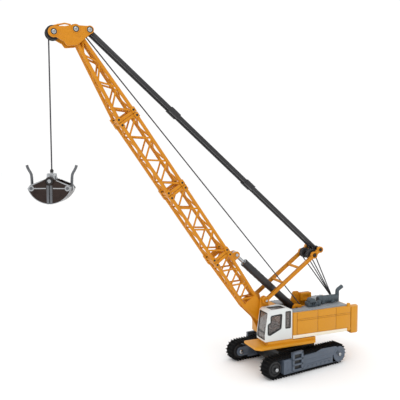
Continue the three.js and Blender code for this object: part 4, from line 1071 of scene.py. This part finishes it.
def sidePanels(size):
    # doors, a thin louvre strip and a head strip, with painted shade in the gaps between them and in the handle
    # recess
    half, seams = size["half"], size["seams"]
    panels, stripes, shades = [], [], []
    for left, right in zip(seams[1:], seams):
        a, b = left + 0.28, right - 0.28
        rows = [(25.3, 34.9), (35.3, 36.0), (36.4, 40.9)] if right - left > 8 else [(25.3, 40.9)]
        for low, high in rows:
            panels.append(slab(roundedOutline(rect(a, b, low, high), 0.3, 3), half - 0.35, half, 0.1))
    # the handle recess strip takes the painted shade colour
    handle = slab(roundedOutline([(-42.6, 36.0), (-34.2, 36.4), (-34.2, 37.6), (-42.6, 37.2)], 0.4), half - 0.3,
            half - 0.02, 0.05)
    stripes.append(slab([(5.9, 22.6), (5.9, 25.0), (-41.0, 24.6), (-41.0, 22.6)], half - 0.3, half - 0.08, 0.04))
    # a darker sheet just behind the panels: painted shade seen through the gaps
    shades.append(block(size["rear"] + 0.4, size["front"] - 0.4, half - 0.34, half - 0.24, 25.1, 41.0))
    knob = crossRod((-42.8, 24.2), half - 0.4, half - 0.02, 1.5, 28)
    return panels, stripes, shades, [handle], [knob]


def houseShell(size):
    front, rear, half, low, top, wall = (size[k] for k in ("front", "rear", "half", "low", "top", "wall"))
    panels, stripes, shades, handles, knobs = sidePanels(size)
    skin = half - 0.3
    shell = meshObject("houseBody", block(rear, front, -skin, skin, low, top), castEnamel)
    weld(shell)
    soften(shell, 0.45, 3)
    cutOut(shell, block(rear + wall, front - wall, wall - half, half - wall, low + 1.4, top + 2),
           block(front - 3, front + 1, -4.0, 4.0, top - 5, top + 1),
            *(crossRod(drum, -20, 0, 1.6) for drum in size["drums"]))
    extras = []
    peg = turned((-42.8, 17.3), [(0, top - 0.3), (1.3, top - 0.3), (1.3, top + 1.6), (1.0, top + 2.0),
            (0, top + 2.05)], 24, "z")
    for side in (1, -1):
        chosen = panels + knobs if side > 0 else panels
        extras += [onSide(side, shape) for shape in chosen]
    extras.append(peg)
    made = meshObject("trim", extras, castEnamel)
    weld(made)
    cutOut(made, *(crossRod(drum, -20, -17, 1.6) for drum in size["drums"]))
    settle(joinPieces("houseBody", shell, made), "house")
    piece("houseStripe", both(*stripes), stripePrint, "house", edge=0)
    gaps = meshObject("houseSeams", merged(*shades, *[mirrored(s) for s in shades], *handles), paintedSeamShade)
    weld(gaps)
    cutOut(gaps, *(crossRod(drum, -20, -17, 1.6) for drum in size["drums"]))
    settle(gaps, "house")


def roofPiece(size):
    low, high = size["roof"]
    outline = [(4.4, 16.6), (-42.7, 16.6), (-42.7, -16.6), (4.4, -16.6), (4.4, -6.4), (-24, -6.4), (-24, 5.8),
            (-9.5, 5.8), (-9.5, 8.8), (4.4, 8.8)]
    slot = rect(-42.3, -36.0, -2.4, 2.4)
    shapes = [slab(outline, low, high - 0.25, 0.1, "xy", holes=[slot])]
    for x0, x1, y0, y1 in ((-8.5, 3.6, 9.8, 15.8), (-26.5, -10.5, 12.6, 16.0), (-42.0, -28.5, 9.8, 16.0),
            (-42.0, -5.0, -15.9, -8.0)):
        shapes.append(slab(rect(x0, x1, y0, y1), high - 0.4, high - 0.05, 0.1, "xy"))
    for k in range(9):
        x = -40.0 + 3.6 * k
        shapes.append(block(x, x + 1.2, -14.4, -9.4, high - 0.2, high))
    piece("roofDeck", shapes, roofPlastic, "house", edge=0)
    spots = [(-41.0 + 4.2 * k, y, high - 0.12) for k in range(11) for y in (16.3, -16.3)]
    rivets("roofRivets", spots, 0.3, roofPlastic, "house")


def weightPiece(size):
    edge = 0.5
    rear, front = size["weight"][0] + edge, size["weight"][1] - edge
    half, corner = size["half"] - 0.2 - edge, 4.5
    outline = [(front, -half), (front, half)]
    for start, y in ((90, half - corner), (180, corner - half)):
        outline += arcLine((rear + corner, y), corner, start, start + 90, 10)
    low, top = size["deck"][0] + 1.6, size["weightTop"]
    made = meshObject("counterweight", slab(outline, low, top, edge, "xy"), castEnamel)
    weld(made)
    cutOut(made, block(rear - 1, front + 1, -12.6, 12.6, 36.2, 50),
           block(rear - 1, rear - 0.15, -11.5, 11.5, 23.2, 23.6),
            block(rear - 1, rear - 0.15, -11.5, 11.5, 33.4, 33.8))
    settle(made, "house")
    bolts = [rod((rear - edge, y, 28.4), (rear + 0.6, y, 28.4), 1.5, 24) for y in (-9.5, 9.5)]
    piece("weightBolts", bolts, carbodyEnamel, "house", edge=0.1)


deckPiece(house)
houseShell(house)
roofPiece(house)
weightPiece(house)
print("house built")

# the cab, the locker and the mast bracket
cab = {
    "x": (6.8, 28.8),
    "y": (6.6, 18.4),
    "z": (23.2, 45.6),
    "wall": 1.1,
    "door": ((24.4, 41.4), (14.9, 42.0), (15.6, 31.2), (24.6, 27.3), (26.8, 27.9), (26.8, 35.4), (24.9, 36.4)),
    "doorRadius": (1.6, 1.4, 1.6, 1.3, 1.2, 1.3, 1.0),
    "rearWindow": (7.9, 12.5, 30.8, 43.3),
    "screen": (24.4, 43.4),
    "hatch": (11.2, 23.0, 8.8, 17.2),
    "mastPivot": (22.9, 49.9),
}


def cabProfile(inset, floor):
    return [(6.8 + inset, floor), (28.8 - inset, floor), (28.8 - inset, 27.7), (26.6 - inset, 43.7 - inset),
            (25.0 - inset, 45.0 - inset),
            (12.8, 45.6 - inset), (6.8 + inset, 44.2 - inset)]


def cabUnit(size):
    low, high = size["y"]
    made = meshObject("cabShell", slab(roundedOutline(cabProfile(0, size["z"][0]), [0, 0, 2.0, 1.2, 1.5, 3.0, 1.6],
            4), low, high, 0), cabPlastic)
    weld(made)
    soften(made, 0.8, 3, 60)
    a, b, c, d = size["rearWindow"]
    door = roundedOutline(size["door"], list(size["doorRadius"]), 5)
    rear = roundedOutline(rect(a, b, c, d), 0.9, 4)
    near, far = high - 0.5, low + 0.3
    screen = roundedOutline(rect(far, near, *size["screen"]), 0.9, 4)
    hatch = roundedOutline(rect(*size["hatch"]), 0.8, 4)
    inner = roundedOutline(rect(10.0, 20.5, 33.0, 42.0), 1.0, 4)
    back = roundedOutline(rect(9.0, 16.0, 35.6, 42.6), 1.0, 4)
    cutOut(made, slab(cabProfile(size["wall"], 20), low + 1.1, high - 1.1),
           slab(grown(door, 0.05), high - 1.6, high + 1), slab(rear, high - 1.6, high + 1),
           slab(screen, 24.5, 30, 0, "yz"), slab(hatch, 43, 47, 0, "xy"),
           slab(inner, low - 1, low + 1.6), slab(back, 6, 8.4, 0, "yz"))
    settle(made, "house")
    # a black seal fills the edge of every opening, as pad printing does on such toys
    seals = [slab(grown(door, 0.0), high - 1.0, high - 0.06, 0.05, holes=[grown(door, -1.0)]),
             slab(rear, high - 1.0, high - 0.06, 0.05, holes=[grown(rear, -0.6)]),
             slab(hatch, 44.0, 44.9, 0.05, "xy", holes=[grown(hatch, -0.5)]),
             slab(inner, low + 0.1, low + 1.0, 0.05, holes=[grown(inner, -0.5)]),
             slab(back, 6.9, 7.8, 0.05, "yz", holes=[grown(back, -0.5)])]
    lean = atan2(2.2, 16.0)
    leaning = Matrix.Translation((28.75, 0, 27.7)) @ Matrix.Rotation(-lean, 4,
            "Y") @ Matrix.Translation((-28.75, 0, -27.7))
    frameRing = slab(screen, 27.9, 28.7, 0.05, "yz", holes=[grown(screen, -0.7)])
    bent = ([tuple(leaning @ Vector(p)) if p[2] > 27.7 else p for p in frameRing[0]], frameRing[1])
    seals.append(bent)
    seals.append(block(27.7, 28.55, low + 0.6, high - 1.0, 29.0, 29.55))
    piece("cabSeals", seals, blackPartsAndSlotShade, "house", edge=0)
    glass = [slab(grown(door, -0.3), high - 0.75, high - 0.35), slab(grown(rear, -0.3), high - 0.75, high - 0.35),
             slab(grown(hatch, -0.3), 44.2, 44.6, 0, "xy"), slab(grown(inner, -0.3), low + 0.4, low + 0.8),
             slab(grown(back, -0.3), 7.2, 7.6, 0, "yz")]
    pane = slab([(28.45, 24.7), (28.45, 27.7), (26.3, 43.2), (25.95, 43.2), (28.1, 27.7), (28.1, 24.7)], low + 0.6,
            high - 0.8)
    glass.append(pane)
    piece("cabGlazing", glass, smokedGlass, "house", edge=0)
    seat = [block(13.0, 18.5, 10.0, 15.6, 28.6, 30.4), moved(block(-0.8, 0.8, 10.0, 15.6, 0, 8.5),
            Matrix.Translation((13.2, 0, 30.0)) @ Matrix.Rotation(-0.18, 4, "Y")),
            block(14.0, 17.6, 11.2, 14.4, 23.6, 28.6), block(11.2, 12.6, 11.2, 14.4, 38.8, 41.2)]
    console = [block(21.5, 24.6, 8.6, 16.4, 23.6, 31.0), rod((21.0, 12.8, 30.2), (19.6, 12.8, 33.6), 0.5, 12),
            block(13.5, 19.0, 8.4, 9.6, 29.6, 32.0), block(13.5, 19.0, 16.0, 16.9, 29.6, 31.4)]
    piece("cabSeat", seat, seatPlastic, "house", edge=0.5)
    wheel = washer((0, 0), 1.5, 1.9, -0.25, 0.25, 28, "z")
    console.append(moved(wheel, Matrix.Translation((19.4, 12.8, 34.0)) @ Matrix.Rotation(-0.5, 4, "Y")))
    piece("cabConsole", console, enginePlastic, "house", edge=0.2)
    fittings = [block(24.5, 26.1, high - 0.5, high - 0.03, 36.6, 39.2),
            block(13.4, 15.0, high - 0.4, high - 0.02, 33.2, 34.0)]
    fittings += [block(size["hatch"][0] - 0.5, size["hatch"][1] + 0.5, y, y + 0.35, 44.6,
            45.3) for y in (size["hatch"][2] - 0.7, size["hatch"][3] + 0.35)]
    piece("cabFittings", fittings, cabPlastic, "house", edge=0.1)
    locker = meshObject("frontLocker", block(6.8, 19.4, -18.2, -7.4, 20.6, 31.2), castEnamel)
    weld(locker)
    soften(locker, 0.4, 2)
    cutOut(locker, block(4, 18.2, -17.0, -8.6, 18, 30.0), block(6, 20, -18.4, -18.05, 28.6, 28.9),
            block(19.25, 20, -19, -7, 28.6, 28.9))
    lid = meshObject("lid", merged(block(7.2, 19.0, -17.8, -7.8, 31.1, 31.4),
            block(17.0, 18.6, -14.0, -11.6, 31.2, 31.4)), castEnamel)
    weld(lid)
    settle(joinPieces("frontLocker", locker, lid), "house")


def bracketUnit():
    outline = wrapped([(12.8, 23.2, 0), (20.4, 23.2, 0), (24.3, 36.2, 3.0), (22.9, 49.9, 2.6)])
    opening = roundedOutline([(16.2, 27.0), (19.0, 27.0), (21.6, 33.0), (21.4, 40.5), (19.6, 40.5)], 0.9)
    shapes = [block(12.8, 20.4, -6.2, 6.2, 23.2, 24.6)]
    for side in (1, -1):
        cheek = slab(outline, 4.8, 6.2, 0.15, holes=[circle(boom["pivot"], 1.6), opening])
        stub = turned(cab["mastPivot"], [(0, 4.9), (1.3, 4.9), (1.3, 10.1), (1.1, 10.3), (0, 10.3)], 28)
        rim = washer(boom["pivot"], 1.6, 2.6, 6.1, 6.4, 32)
        shapes += [onSide(side, s) for s in (cheek, stub, rim)]
    piece("mastBracket", shapes, boomPlastic, "house", edge=0)
    caps = [turned(cab["mastPivot"], [(0, 10.25), (0.95, 10.25), (0.95, 10.45), (0.6, 10.55), (0, 10.55)], 24)]
    piece("mastStubCaps", both(*caps), brightChrome, "house", edge=0)


cabUnit(cab)
bracketUnit()
print("cab built")

# the engine and the winches
winches = {
    "muffler": (5.4, 44.8, 2.7),
    "exhaust": (-41.3, 1.45),
    "roofTop": 42.1,
    "floor": 24.0,
    "backstop": (-5.0, 39.7),
    "drums": (("hoist", (-13.4, 33.4)), ("luffing", (-38.6, 31.5))),
}


def engineUnit(size):
    y, z, r = size["muffler"]
    x, pipe = size["exhaust"]
    low = size["roofTop"]
    line = [(-23.5, y, z), (-23.9, y, z), (-24.4, y, z), (-30.9, y, z), (-31.0, y, z), (-31.6, y, z), (-31.7, y, z),
            (-40.6, y, z), (-41.1, y, z)]
    can = tubeAlong(line, [2.2, 2.6, r, r, r - 0.2, r - 0.2, r, r, 2.2], 32)
    bend = [(x, y, low), (x, y, 48.2), (x, y, 49.6), (x - 0.25, y, 50.5), (x - 0.9, y, 51.1), (x - 4.5, y, 53.15)]
    shapes = [can, tubeAlong(bend, pipe, 20), crossRod((-15.5, low + 3.2), 6.4, 11.4, 2.6, 28),
            block(-19.5, -11.5, 6.4, 11.4, low, low + 3.0),
              turned((-21.8, 9.4), [(0, low), (1.7, low), (1.7, low + 2.6), (1.3, low + 2.8), (1.3, low + 3.3),
            (0, low + 3.4)], 24, "z"),
              block(-21.8, -18, 8.4, 10.4, low, low + 1.8), rod((-25.5, y, z - 0.6), (-21.8, 9.4, low + 1.7), 1.2,
            16)]
    for a, b in ((-28.5, -25.5), (-37.0, -34.0)):
        shapes += [block(a, b, y - 3, y + 3, low, low + 1.5), block(a + 0.6, b - 0.6, y - 2.9, y + 2.9, low + 1.4,
                z + 0.4)]
        shapes.append(moved(washer((0, 0), 2.6, 2.9, -0.6, 0.6, 32, "z"),
                Matrix.Translation(((a + b) / 2, y, z)) @ Matrix.Rotation(pi / 2, 4, "Y")))
    for k in range(5):
        shapes.append(block(-18.8 + 1.5 * k, -18.2 + 1.5 * k, 11.2, 11.6, low + 0.4, low + 2.6))
    piece("engineUnit", shapes, enginePlastic, "house", edge=0.12)
    bump = [block(-36.0, -32.6, 0.2, 4.2, 42.0, 42.9), turned((-34.3, 2.2),
            [(0, 42.8), (1.6, 42.8), (1.5, 45.2), (0.9, 46.0), (0, 46.2)], 24, "z")]
    piece("fillerCap", bump, boomPlastic, "house", edge=0.15)


def winchUnit(size):
    floor, foot = size["floor"], size["backstop"]
    low = wrapped([(-20, floor, 0), (-1.5, floor, 0), (foot[0], foot[1] + 0.6, 3.0), (-19, 38.5, 1)])
    tall = roundedOutline([(-22.6, floor), (-1.5, floor), (-1.8, 42.5), (-6.4, 43.6), (-8.2, 50.2), (-12.2, 50.2),
            (-13.6, 48.9), (-22.6, 48.9)], [0, 0, 0.8, 0.8, 0.9, 0.9, 0.4, 0.6], 4)
    bores = [circle(foot, 1.5), circle((-13.4, 33.4), 1.6)]
    vent = roundedOutline(rect(-20.6, -15.6, 44.6, 47.4), 0.5, 4)
    shapes = [block(-20, -1.5, -5.3, 5.3, floor, floor + 1.2), slab(low, 4.1, 5.3, 0.15, holes=bores),
            slab(tall, -5.3, -4.1, 0.15, holes=bores),
              slab(roundedOutline(rect(-22.6, -13.6, 43.2, 48.9), 0.5, 4), -5.3, -1.7, 0.15, holes=[vent]),
              block(-20.9, -15.3, -5.0, -2.6, 44.2, 47.7),
              washer(foot, 1.5, 2.9, 5.2, 5.6, 36), washer((-10.2, 46.8), 0.7, 1.5, -4.2, -3.8, 24)]
    piece("winchFrame", shapes, boomPlastic, "house", edge=0)
    for name, at in size["drums"]:
        rows = [(0, -21.9), (3.3, -21.9), (3.8, -21.4), (3.8, -19.3), (3.2, -18.7), (1.2, -18.7), (1.2, -3.5),
                (4.4, -3.5), (4.4, -2.8), (3.0, -2.7),
                (3.0, 2.7), (4.4, 2.8), (4.4, 3.5), (1.2, 3.5), (1.2, 5.7), (0, 5.7)]
        grip = [crossRod((at[0] + 3.62 * cos(k * pi / 8), at[1] + 3.62 * sin(k * pi / 8)), -21.3, -19.4, 0.18,
                8) for k in range(16)]
        piece(name + "Drum", merged(turned(at, rows, 48), *grip), graphitePlastic, name + "_winch", edge=0)
        coil = [(at[0] + 3.4 * cos(t * pi / 10), -2.4 + 4.8 * t / 100,
                at[1] + 3.4 * sin(t * pi / 10)) for t in range(101)]
        threadPiece(name + "DrumCoil", coil, name + "_winch", sides=8)
    rows = [(0, -5.7), (1.35, -5.7), (1.35, 5.55), (1.0, 5.7), (0, 5.7)]
    piece("backstopPin", turned(foot, rows, 28), darkChrome, "house", edge=0)


engineUnit(winches)
winchUnit(winches)
print("machinery built")

# the mast, its pendants and the backstop
mast = {
    "pivot": (22.9, 49.9),
    "sheave": (-17.8, 79.5),
    "end": (-23.0, 83.3),
    "leg": (7.2, 9.4),
    "bar": 1.2,
    "tubes": (0.374, 0.705),
    "pendant": (145.9, 230.5),
    "pendantSide": (2.3, 3.7),
    "lug": (43.2, 83.1),
    "foot": (-5.0, 39.7),
}


def alongLine(start, end):
    run = atan2(end[1] - start[1], end[0] - start[0])
    span = hypot(end[0] - start[0], end[1] - start[1])
    return Matrix.Translation((start[0], 0, start[1])) @ Matrix.Rotation(-run, 4, "Y"), span


def mastUnit(size):
    y0, y1 = size["leg"]
    shapes = []
    lay, span = alongLine(size["pivot"], size["sheave"])
    onward, short = alongLine(size["sheave"], size["end"])
    for side in (1, -1):
        parts = [moved(block(2.0, span - 2.1, y0 + 0.25, y1 - 0.25, -size["bar"], size["bar"]), lay),
                 moved(block(2.0, span - 2.1, y0, y1, -size["bar"], 0.55 - size["bar"]), lay),
                moved(block(2.0, span - 2.1, y0, y1, size["bar"] - 0.55, size["bar"]), lay),
                 moved(block(1.7, short - 1.5, y0, y1, -1.2, 1.2), onward)]
        for at, radius, bore in ((size["pivot"], 2.6, 1.4), (size["sheave"], 2.5, 1.5), (size["end"], 2.3, 1.3)):
            parts.append(spun(at, [(bore, y0), (radius - 0.1, y0), (radius, y0 + 0.1), (radius, y1 - 0.15),
                    (radius - 0.15, y1), (bore + 0.5, y1), (bore + 0.4, y1 - 0.2), (bore, y1 - 0.2)], 36))
        shapes += [onSide(side, s) for s in parts]
    for share in size["tubes"]:
        at = [a + (b - a) * share for a, b in zip(size["pivot"], size["sheave"])]
        shapes.append(crossRod(at, -7.6, 7.6, 1.0, 20))
        shapes += [crossRod(at, side * 7.2, side * 6.6, 1.0, 20) for side in (-1, 1)]
    piece("mastFrame", shapes, boomPlastic, "mast", edge=0.15)
    for name, side in (("Left", 1), ("Right", -1)):
        piece("mastSheave" + name, spun(size["sheave"], sheaveRows(3.7, 2.6, 1.7, 1.55, side * 4.0), 44),
                wheelPlastic,
              "mast_wheel_" + name.lower(), edge=0, smooth=50)
    for name, at, r in (("mastSheavePin", size["sheave"], 1.35), ("mastEndPin", size["end"], 1.15)):
        piece(name, turned(at, [(0, -9.9), (r - 0.3, -9.9), (r, -9.6), (r, 9.6), (r - 0.3, 9.9), (0, 9.9)], 28),
                darkChrome, "mast", edge=0)


def pendantUnit(size):
    lay, span = alongLine(size["end"], size["pendant"])
    y0, y1 = size["pendantSide"]
    for name, side in (("Left", 1), ("Right", -1)):
        parts = [block(1.7, span - 2.2, y0 + 0.1, y1 - 0.1, -1.25, 1.25), block(2.2, span - 2.6, y0, y1, -0.8, 0.8)]
        parts.append(spun((0, 0), [(1.3, y0), (2.2, y0), (2.3, y0 + 0.1), (2.3, y1 - 0.1), (2.2, y1), (1.3, y1)], 32))
        parts.append(spun((span, 0), [(1.85, y0), (2.4, y0), (2.5, y0 + 0.1), (2.5, y1 - 0.1), (2.4, y1), (1.85, y1)],
                32))
        for k in (1, 2):
            middle = span * k / 3
            parts.append(block(middle - 4, middle + 4, y0 - 0.2, y1 + 0.2, -1.75, 1.75))
            parts += [crossRod((middle + step, 0), y0 - 0.35, y1 + 0.35, 0.75, 18) for step in (-2.4, 2.4)]
        shape = merged(*parts)
        piece("pendant" + name, moved(onSide(side, shape), lay), graphitePlastic, "pendants", edge=0.14)


def backstopUnit(size):
    lay, span = alongLine(size["foot"], size["lug"])
    lengthwise = lay @ Matrix.Rotation(pi / 2, 4, "Y")
    rows = [(0, 3.2), (2.5, 3.2), (2.8, 3.6), (2.8, 27.0)]
    for k in range(6):
        rows += [(2.8, 28.0 + 4.2 * k), (2.9, 28.1 + 4.2 * k), (2.9, 28.9 + 4.2 * k), (2.8, 29.0 + 4.2 * k)]
    rows += [(2.8, 54.0), (2.9, 54.2), (2.9, 55.3), (2.6, 55.7), (1.55, 55.7), (1.55, 12.0), (0, 12.0)]
    shapes = [moved(turned((0, 0), rows, 44, "z"), lengthwise)]
    eye = washer((0, 0), 1.5, 2.4, -2.2, 2.2, 32)
    shapes += [moved(eye, lay), moved(block(1.75, 6.0, -2.1, 2.1, -2.3, 2.3), lay)]
    piece("backstopBarrel", shapes, graphitePlastic, "backstop_cylinder", edge=0)
    collar = spun((0, 0), [(1.5, 55.4), (2.3, 55.4), (2.3, 55.85), (2.1, 56.0), (1.5, 56.0)], 36, "z")
    piece("backstopCollar", moved(collar, lengthwise), brightChrome, "backstop_cylinder", edge=0)
    shank = turned((0, 0), [(0, 36), (1.1, 36), (1.3, 36.3), (1.3, span - 1.8), (0, span - 1.8)], 28, "z")
    ring = spun((span, 0), [(1.6, -1.4), (2.1, -1.4), (2.2, -1.3), (2.2, 1.3), (2.1, 1.4), (1.6, 1.4)], 36)
    piece("backstopRod", merged(moved(shank, lengthwise), moved(ring, lay)), brightChrome, "backstop_piston", edge=0)


mastUnit(mast)
pendantUnit(mast)
backstopUnit(mast)
print("mast built")

# grab
grab = {
    "at": (169.35, 137.9),
    "turn": -23.1,
    "radius": 14.0,
    "half": 6.0,
    "wall": 0.9,
    "rim": -4.4,
}
grabMatrix = Matrix.Translation((grab["at"][0], 0, grab["at"][1])) @ Matrix.Rotation(radians(grab["turn"]), 4, "Z")


def jawShapes(size, outside):
    # the closed sides and curved floor of one bucket, its hub size and its arc; the thick lip bar and the horn are
    # added in grabUnit
    radius, half, wall, rim = (size[k] for k in ("radius", "half", "wall", "rim"))
    bottom, lip = degrees(0.02) - 90, degrees(asin(rim / radius))
    arc = arcLine((0, 0), radius, bottom, lip, 20)
    top = [(11.6, rim + 2.0), (4.2, 0.5), (2.4, 1.3), (0.25, 1.3)]
    hub = 2.6
    hubY = (half - wall, half) if outside else (half - 2 * wall - 0.3, half - wall - 0.3)
    if outside:
        side = arc + top + [(0.92, 0.92), (1.3, 0), (0.92, -0.92), (0.25, -1.3)]
    else:
        near = arcLine((0, 0), 2.95, 26, -78, 4)
        side = arc + top[:2] + [(2.9, 1.1)] + near + [(0.3, -3.2)]
    web = slab(side, half - wall, half)
    within = arcLine((0, 0), radius - wall, bottom, lip, 20)
    floor = slab(arc + within[::-1], 0.05 - half, half - 0.05)
    return web, floor, hub, hubY, arc


def grabUnit(size):
    half, rim = size["half"], size["rim"]
    for name, outside, flip in (("Front", True, 1), ("Rear", False, -1)):
        body = "grab_jaw_" + name.lower()
        web, floor, hub, hubY, arc = jawShapes(size, outside)
        dark = [*both(web), floor]
        boss = washer((0, 0), 1.3, hub, hubY[0], hubY[1], 36)
        dark += both(boss)
        if not outside:
            arm = slab([(0.25, -2.6), (2.9, -4.6), (5.4, -5.2), (5.4, -1.2), (2.0, 1.6), (1.3, 0.6), (1.3, -0.6),
                    (0.92, -0.92), (0.25, -1.3)], hubY[0], half - size["wall"] + 0.02, 0.0)
            dark += both(arm)
        pose = grabMatrix @ (Matrix.Identity(4) if flip > 0 else Matrix.Scale(-1, 4, (1, 0, 0)))
        made = meshObject("jaw" + name, moved(merged(*dark), pose), darkChrome)
        weld(made)
        settle(made, body)
        # polished lip, bars, horn and bolts
        trim = [crossRod((11.0, rim), -half - 0.4, half + 0.4, 1.7, 32)]
        inner = [(x * 0.972, z * 0.972) for x, z in arc]
        band = slab(arc + inner[::-1], half - 0.1, half + 0.12, 0.0)
        trim += both(band)
        edge = slab([(13.25, -4.4), (11.7, -2.3), (4.3, 0.62), (4.1, 0.2), (11.3, -2.9), (12.5, -4.6)], half - 0.2,
                half + 0.1, 0.03)
        trim += both(edge)
        worn = [slab([(0.25, -13.95), (1.7, -13.85), (1.7, -2.6), (0.25, -2.6)], half - 0.2, half + 0.14, 0.04)]
        worn = both(*worn)
        line = slab([(2.2, rim - 0.25), (9.6, rim - 0.3), (9.6, rim + 0.25), (2.2, rim + 0.3)], half - 0.2,
                half + 0.16, 0.05)
        trim += both(line)
        points = [(12.2, 0, rim - 0.6), (12.25, 0, rim + 2.0), (12.3, 0, rim + 4.2), (12.4, 0, rim + 6.4),
                (12.6, 0, rim + 8.2), (13.2, 0, rim + 9.6), (14.0, 0, rim + 10.8), (14.8, 0, rim + 12.4),
                (15.3, 0, rim + 14.0)]
        worn.append(tubeAlong(points, 0.85, 18))
        trim.append(crossRod((12.2, rim - 0.6), -1.6, 1.6, 1.3, 24))
        for side in (-1, 1):
            y = side * (half + 0.3)
            worn.append(turned((11.0, rim), [(0, y), (1.0, y), (1.0, y + side * 0.42), (0.6, y + side * 0.5),
                    (0, y + side * 0.5)], 6))
        made = meshObject("jaw" + name + "Trim", moved(merged(*trim), pose), brightChrome)
        weld(made)
        settle(made, body)
        made = meshObject("jaw" + name + "Worn", moved(merged(*worn), pose), wornChrome)
        weld(made)
        settle(made, body)
    rings = [washer((0, 0), 1.35, 2.1, 5.9, 6.3, 32)]
    piece("grabRings", moved(merged(*rings, mirrored(rings[0])), grabMatrix), blackPartsAndSlotShade, "grab_frame", edge=0)
    yoke = wrapped([(0, 0, 2.5), (1.7, 4.0, 0.5), (-1.7, 4.0, 0.5)])
    cheek = slab(yoke, 2.2, 3.2, 0.12, holes=[circle((0, 0), 1.3)])
    shapes = [*both(cheek), slab(roundedOutline(rect(-1.9, 1.9, -3.2, 3.2), 0.6), 2.9, 4.5, 0.2, "xy")]
    piece("grabYoke", moved(merged(*shapes), grabMatrix), brightChrome, "grab_frame", edge=0)
    rows = [(0, -6.8), (0.8, -6.8), (1.15, -6.5), (1.15, 6.5), (0.8, 6.8), (0, 6.8)]
    piece("grabPin", moved(turned((0, 0), rows, 32), grabMatrix), brightChrome, "grab_frame", edge=0)
    knot = [(0, 142.75), (0.8, 142.75), (1.15, 143.2), (1.0, 143.7), (1.2, 144.1), (1.0, 144.6), (0.7, 144.9),
            (0.5, 145.15), (0, 145.2)]
    piece("ropeSocket", turned((size["at"][0], 0), knot, 20, "z"), blackPartsAndSlotShade, "rope_end",
            edge=0, smooth=60)


grabUnit(grab)
print("grab built")

# the floor and the light
studio = {"floor": "#FFFFFF", "world": 1.04, "dim": 0.86, "key": 1.5, "fill": 0.5}


def addStudio(size):
    floor = bpy.data.meshes.new("floor")
    low = -bellyClearance / 1000
    floor.from_pydata([(-4, -4, low), (4, -4, low), (4, 4, low), (-4, 4, low)], [], [(0, 1, 2, 3)])
    ground = bpy.data.objects.new("floor", floor)
    scene.collection.objects.link(ground)
    paper = bpy.data.materials.new("whitePaper")
    paper.use_nodes = True
    paper.node_tree.nodes["Principled BSDF"].inputs["Base Color"].default_value = hexColour(size["floor"])
    paper.node_tree.nodes["Principled BSDF"].inputs["Roughness"].default_value = 0.9
    floor.materials.append(paper)
    world = bpy.data.worlds.new("studio")
    scene.world = world
    world.use_nodes = True
    sky = world.node_tree.nodes["Background"]
    sky.inputs[0].default_value = (1, 1, 1, 1)
    # the room is a little darker towards its open side, which gives the chrome some contrast
    where = addNode(world.node_tree, "ShaderNodeTexCoord")
    towards = addNode(world.node_tree, "ShaderNodeVectorMath", {"operation": "DOT_PRODUCT"},
            i0=where.outputs["Generated"], i1=(0.35, 0.92, -0.15))
    level = addNode(world.node_tree, "ShaderNodeMapRange", i0=towards.outputs["Value"], i1=0.15, i2=0.85,
            i3=size["world"], i4=size["dim"])
    world.node_tree.links.new(level.outputs[0], sky.inputs[1])
    for name, spot, aim, power, wide in (
            ("keyLight", (0.25, 0.55, 0.75), (0.05, 0, 0.1), size["key"], 0.5),
            ("fillLight", (0.9, 0.2, 0.35), (0.05, 0, 0.1), size["fill"], 0.6)):
        data = bpy.data.lights.new(name, "AREA")
        data.energy = power
        data.size = wide
        lamp = bpy.data.objects.new(name, data)
        scene.collection.objects.link(lamp)
        lamp.location = spot
        lamp.rotation_euler = (Vector(aim) - Vector(spot)).to_track_quat("-Z", "Y").to_euler()
    scene.view_settings.view_transform = "Standard"


addStudio(studio)

# three small CAD nodes are already what they stand for, and take their finishes here
kept = {"slew_ring": carbodyEnamel, "boom_foot_pin": brightChrome, "backstop_lug_pin": brightChrome}
for nodeName, finish in kept.items():
    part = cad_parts[nodeName]
    part.data.materials.clear()
    part.data.materials.append(finish)
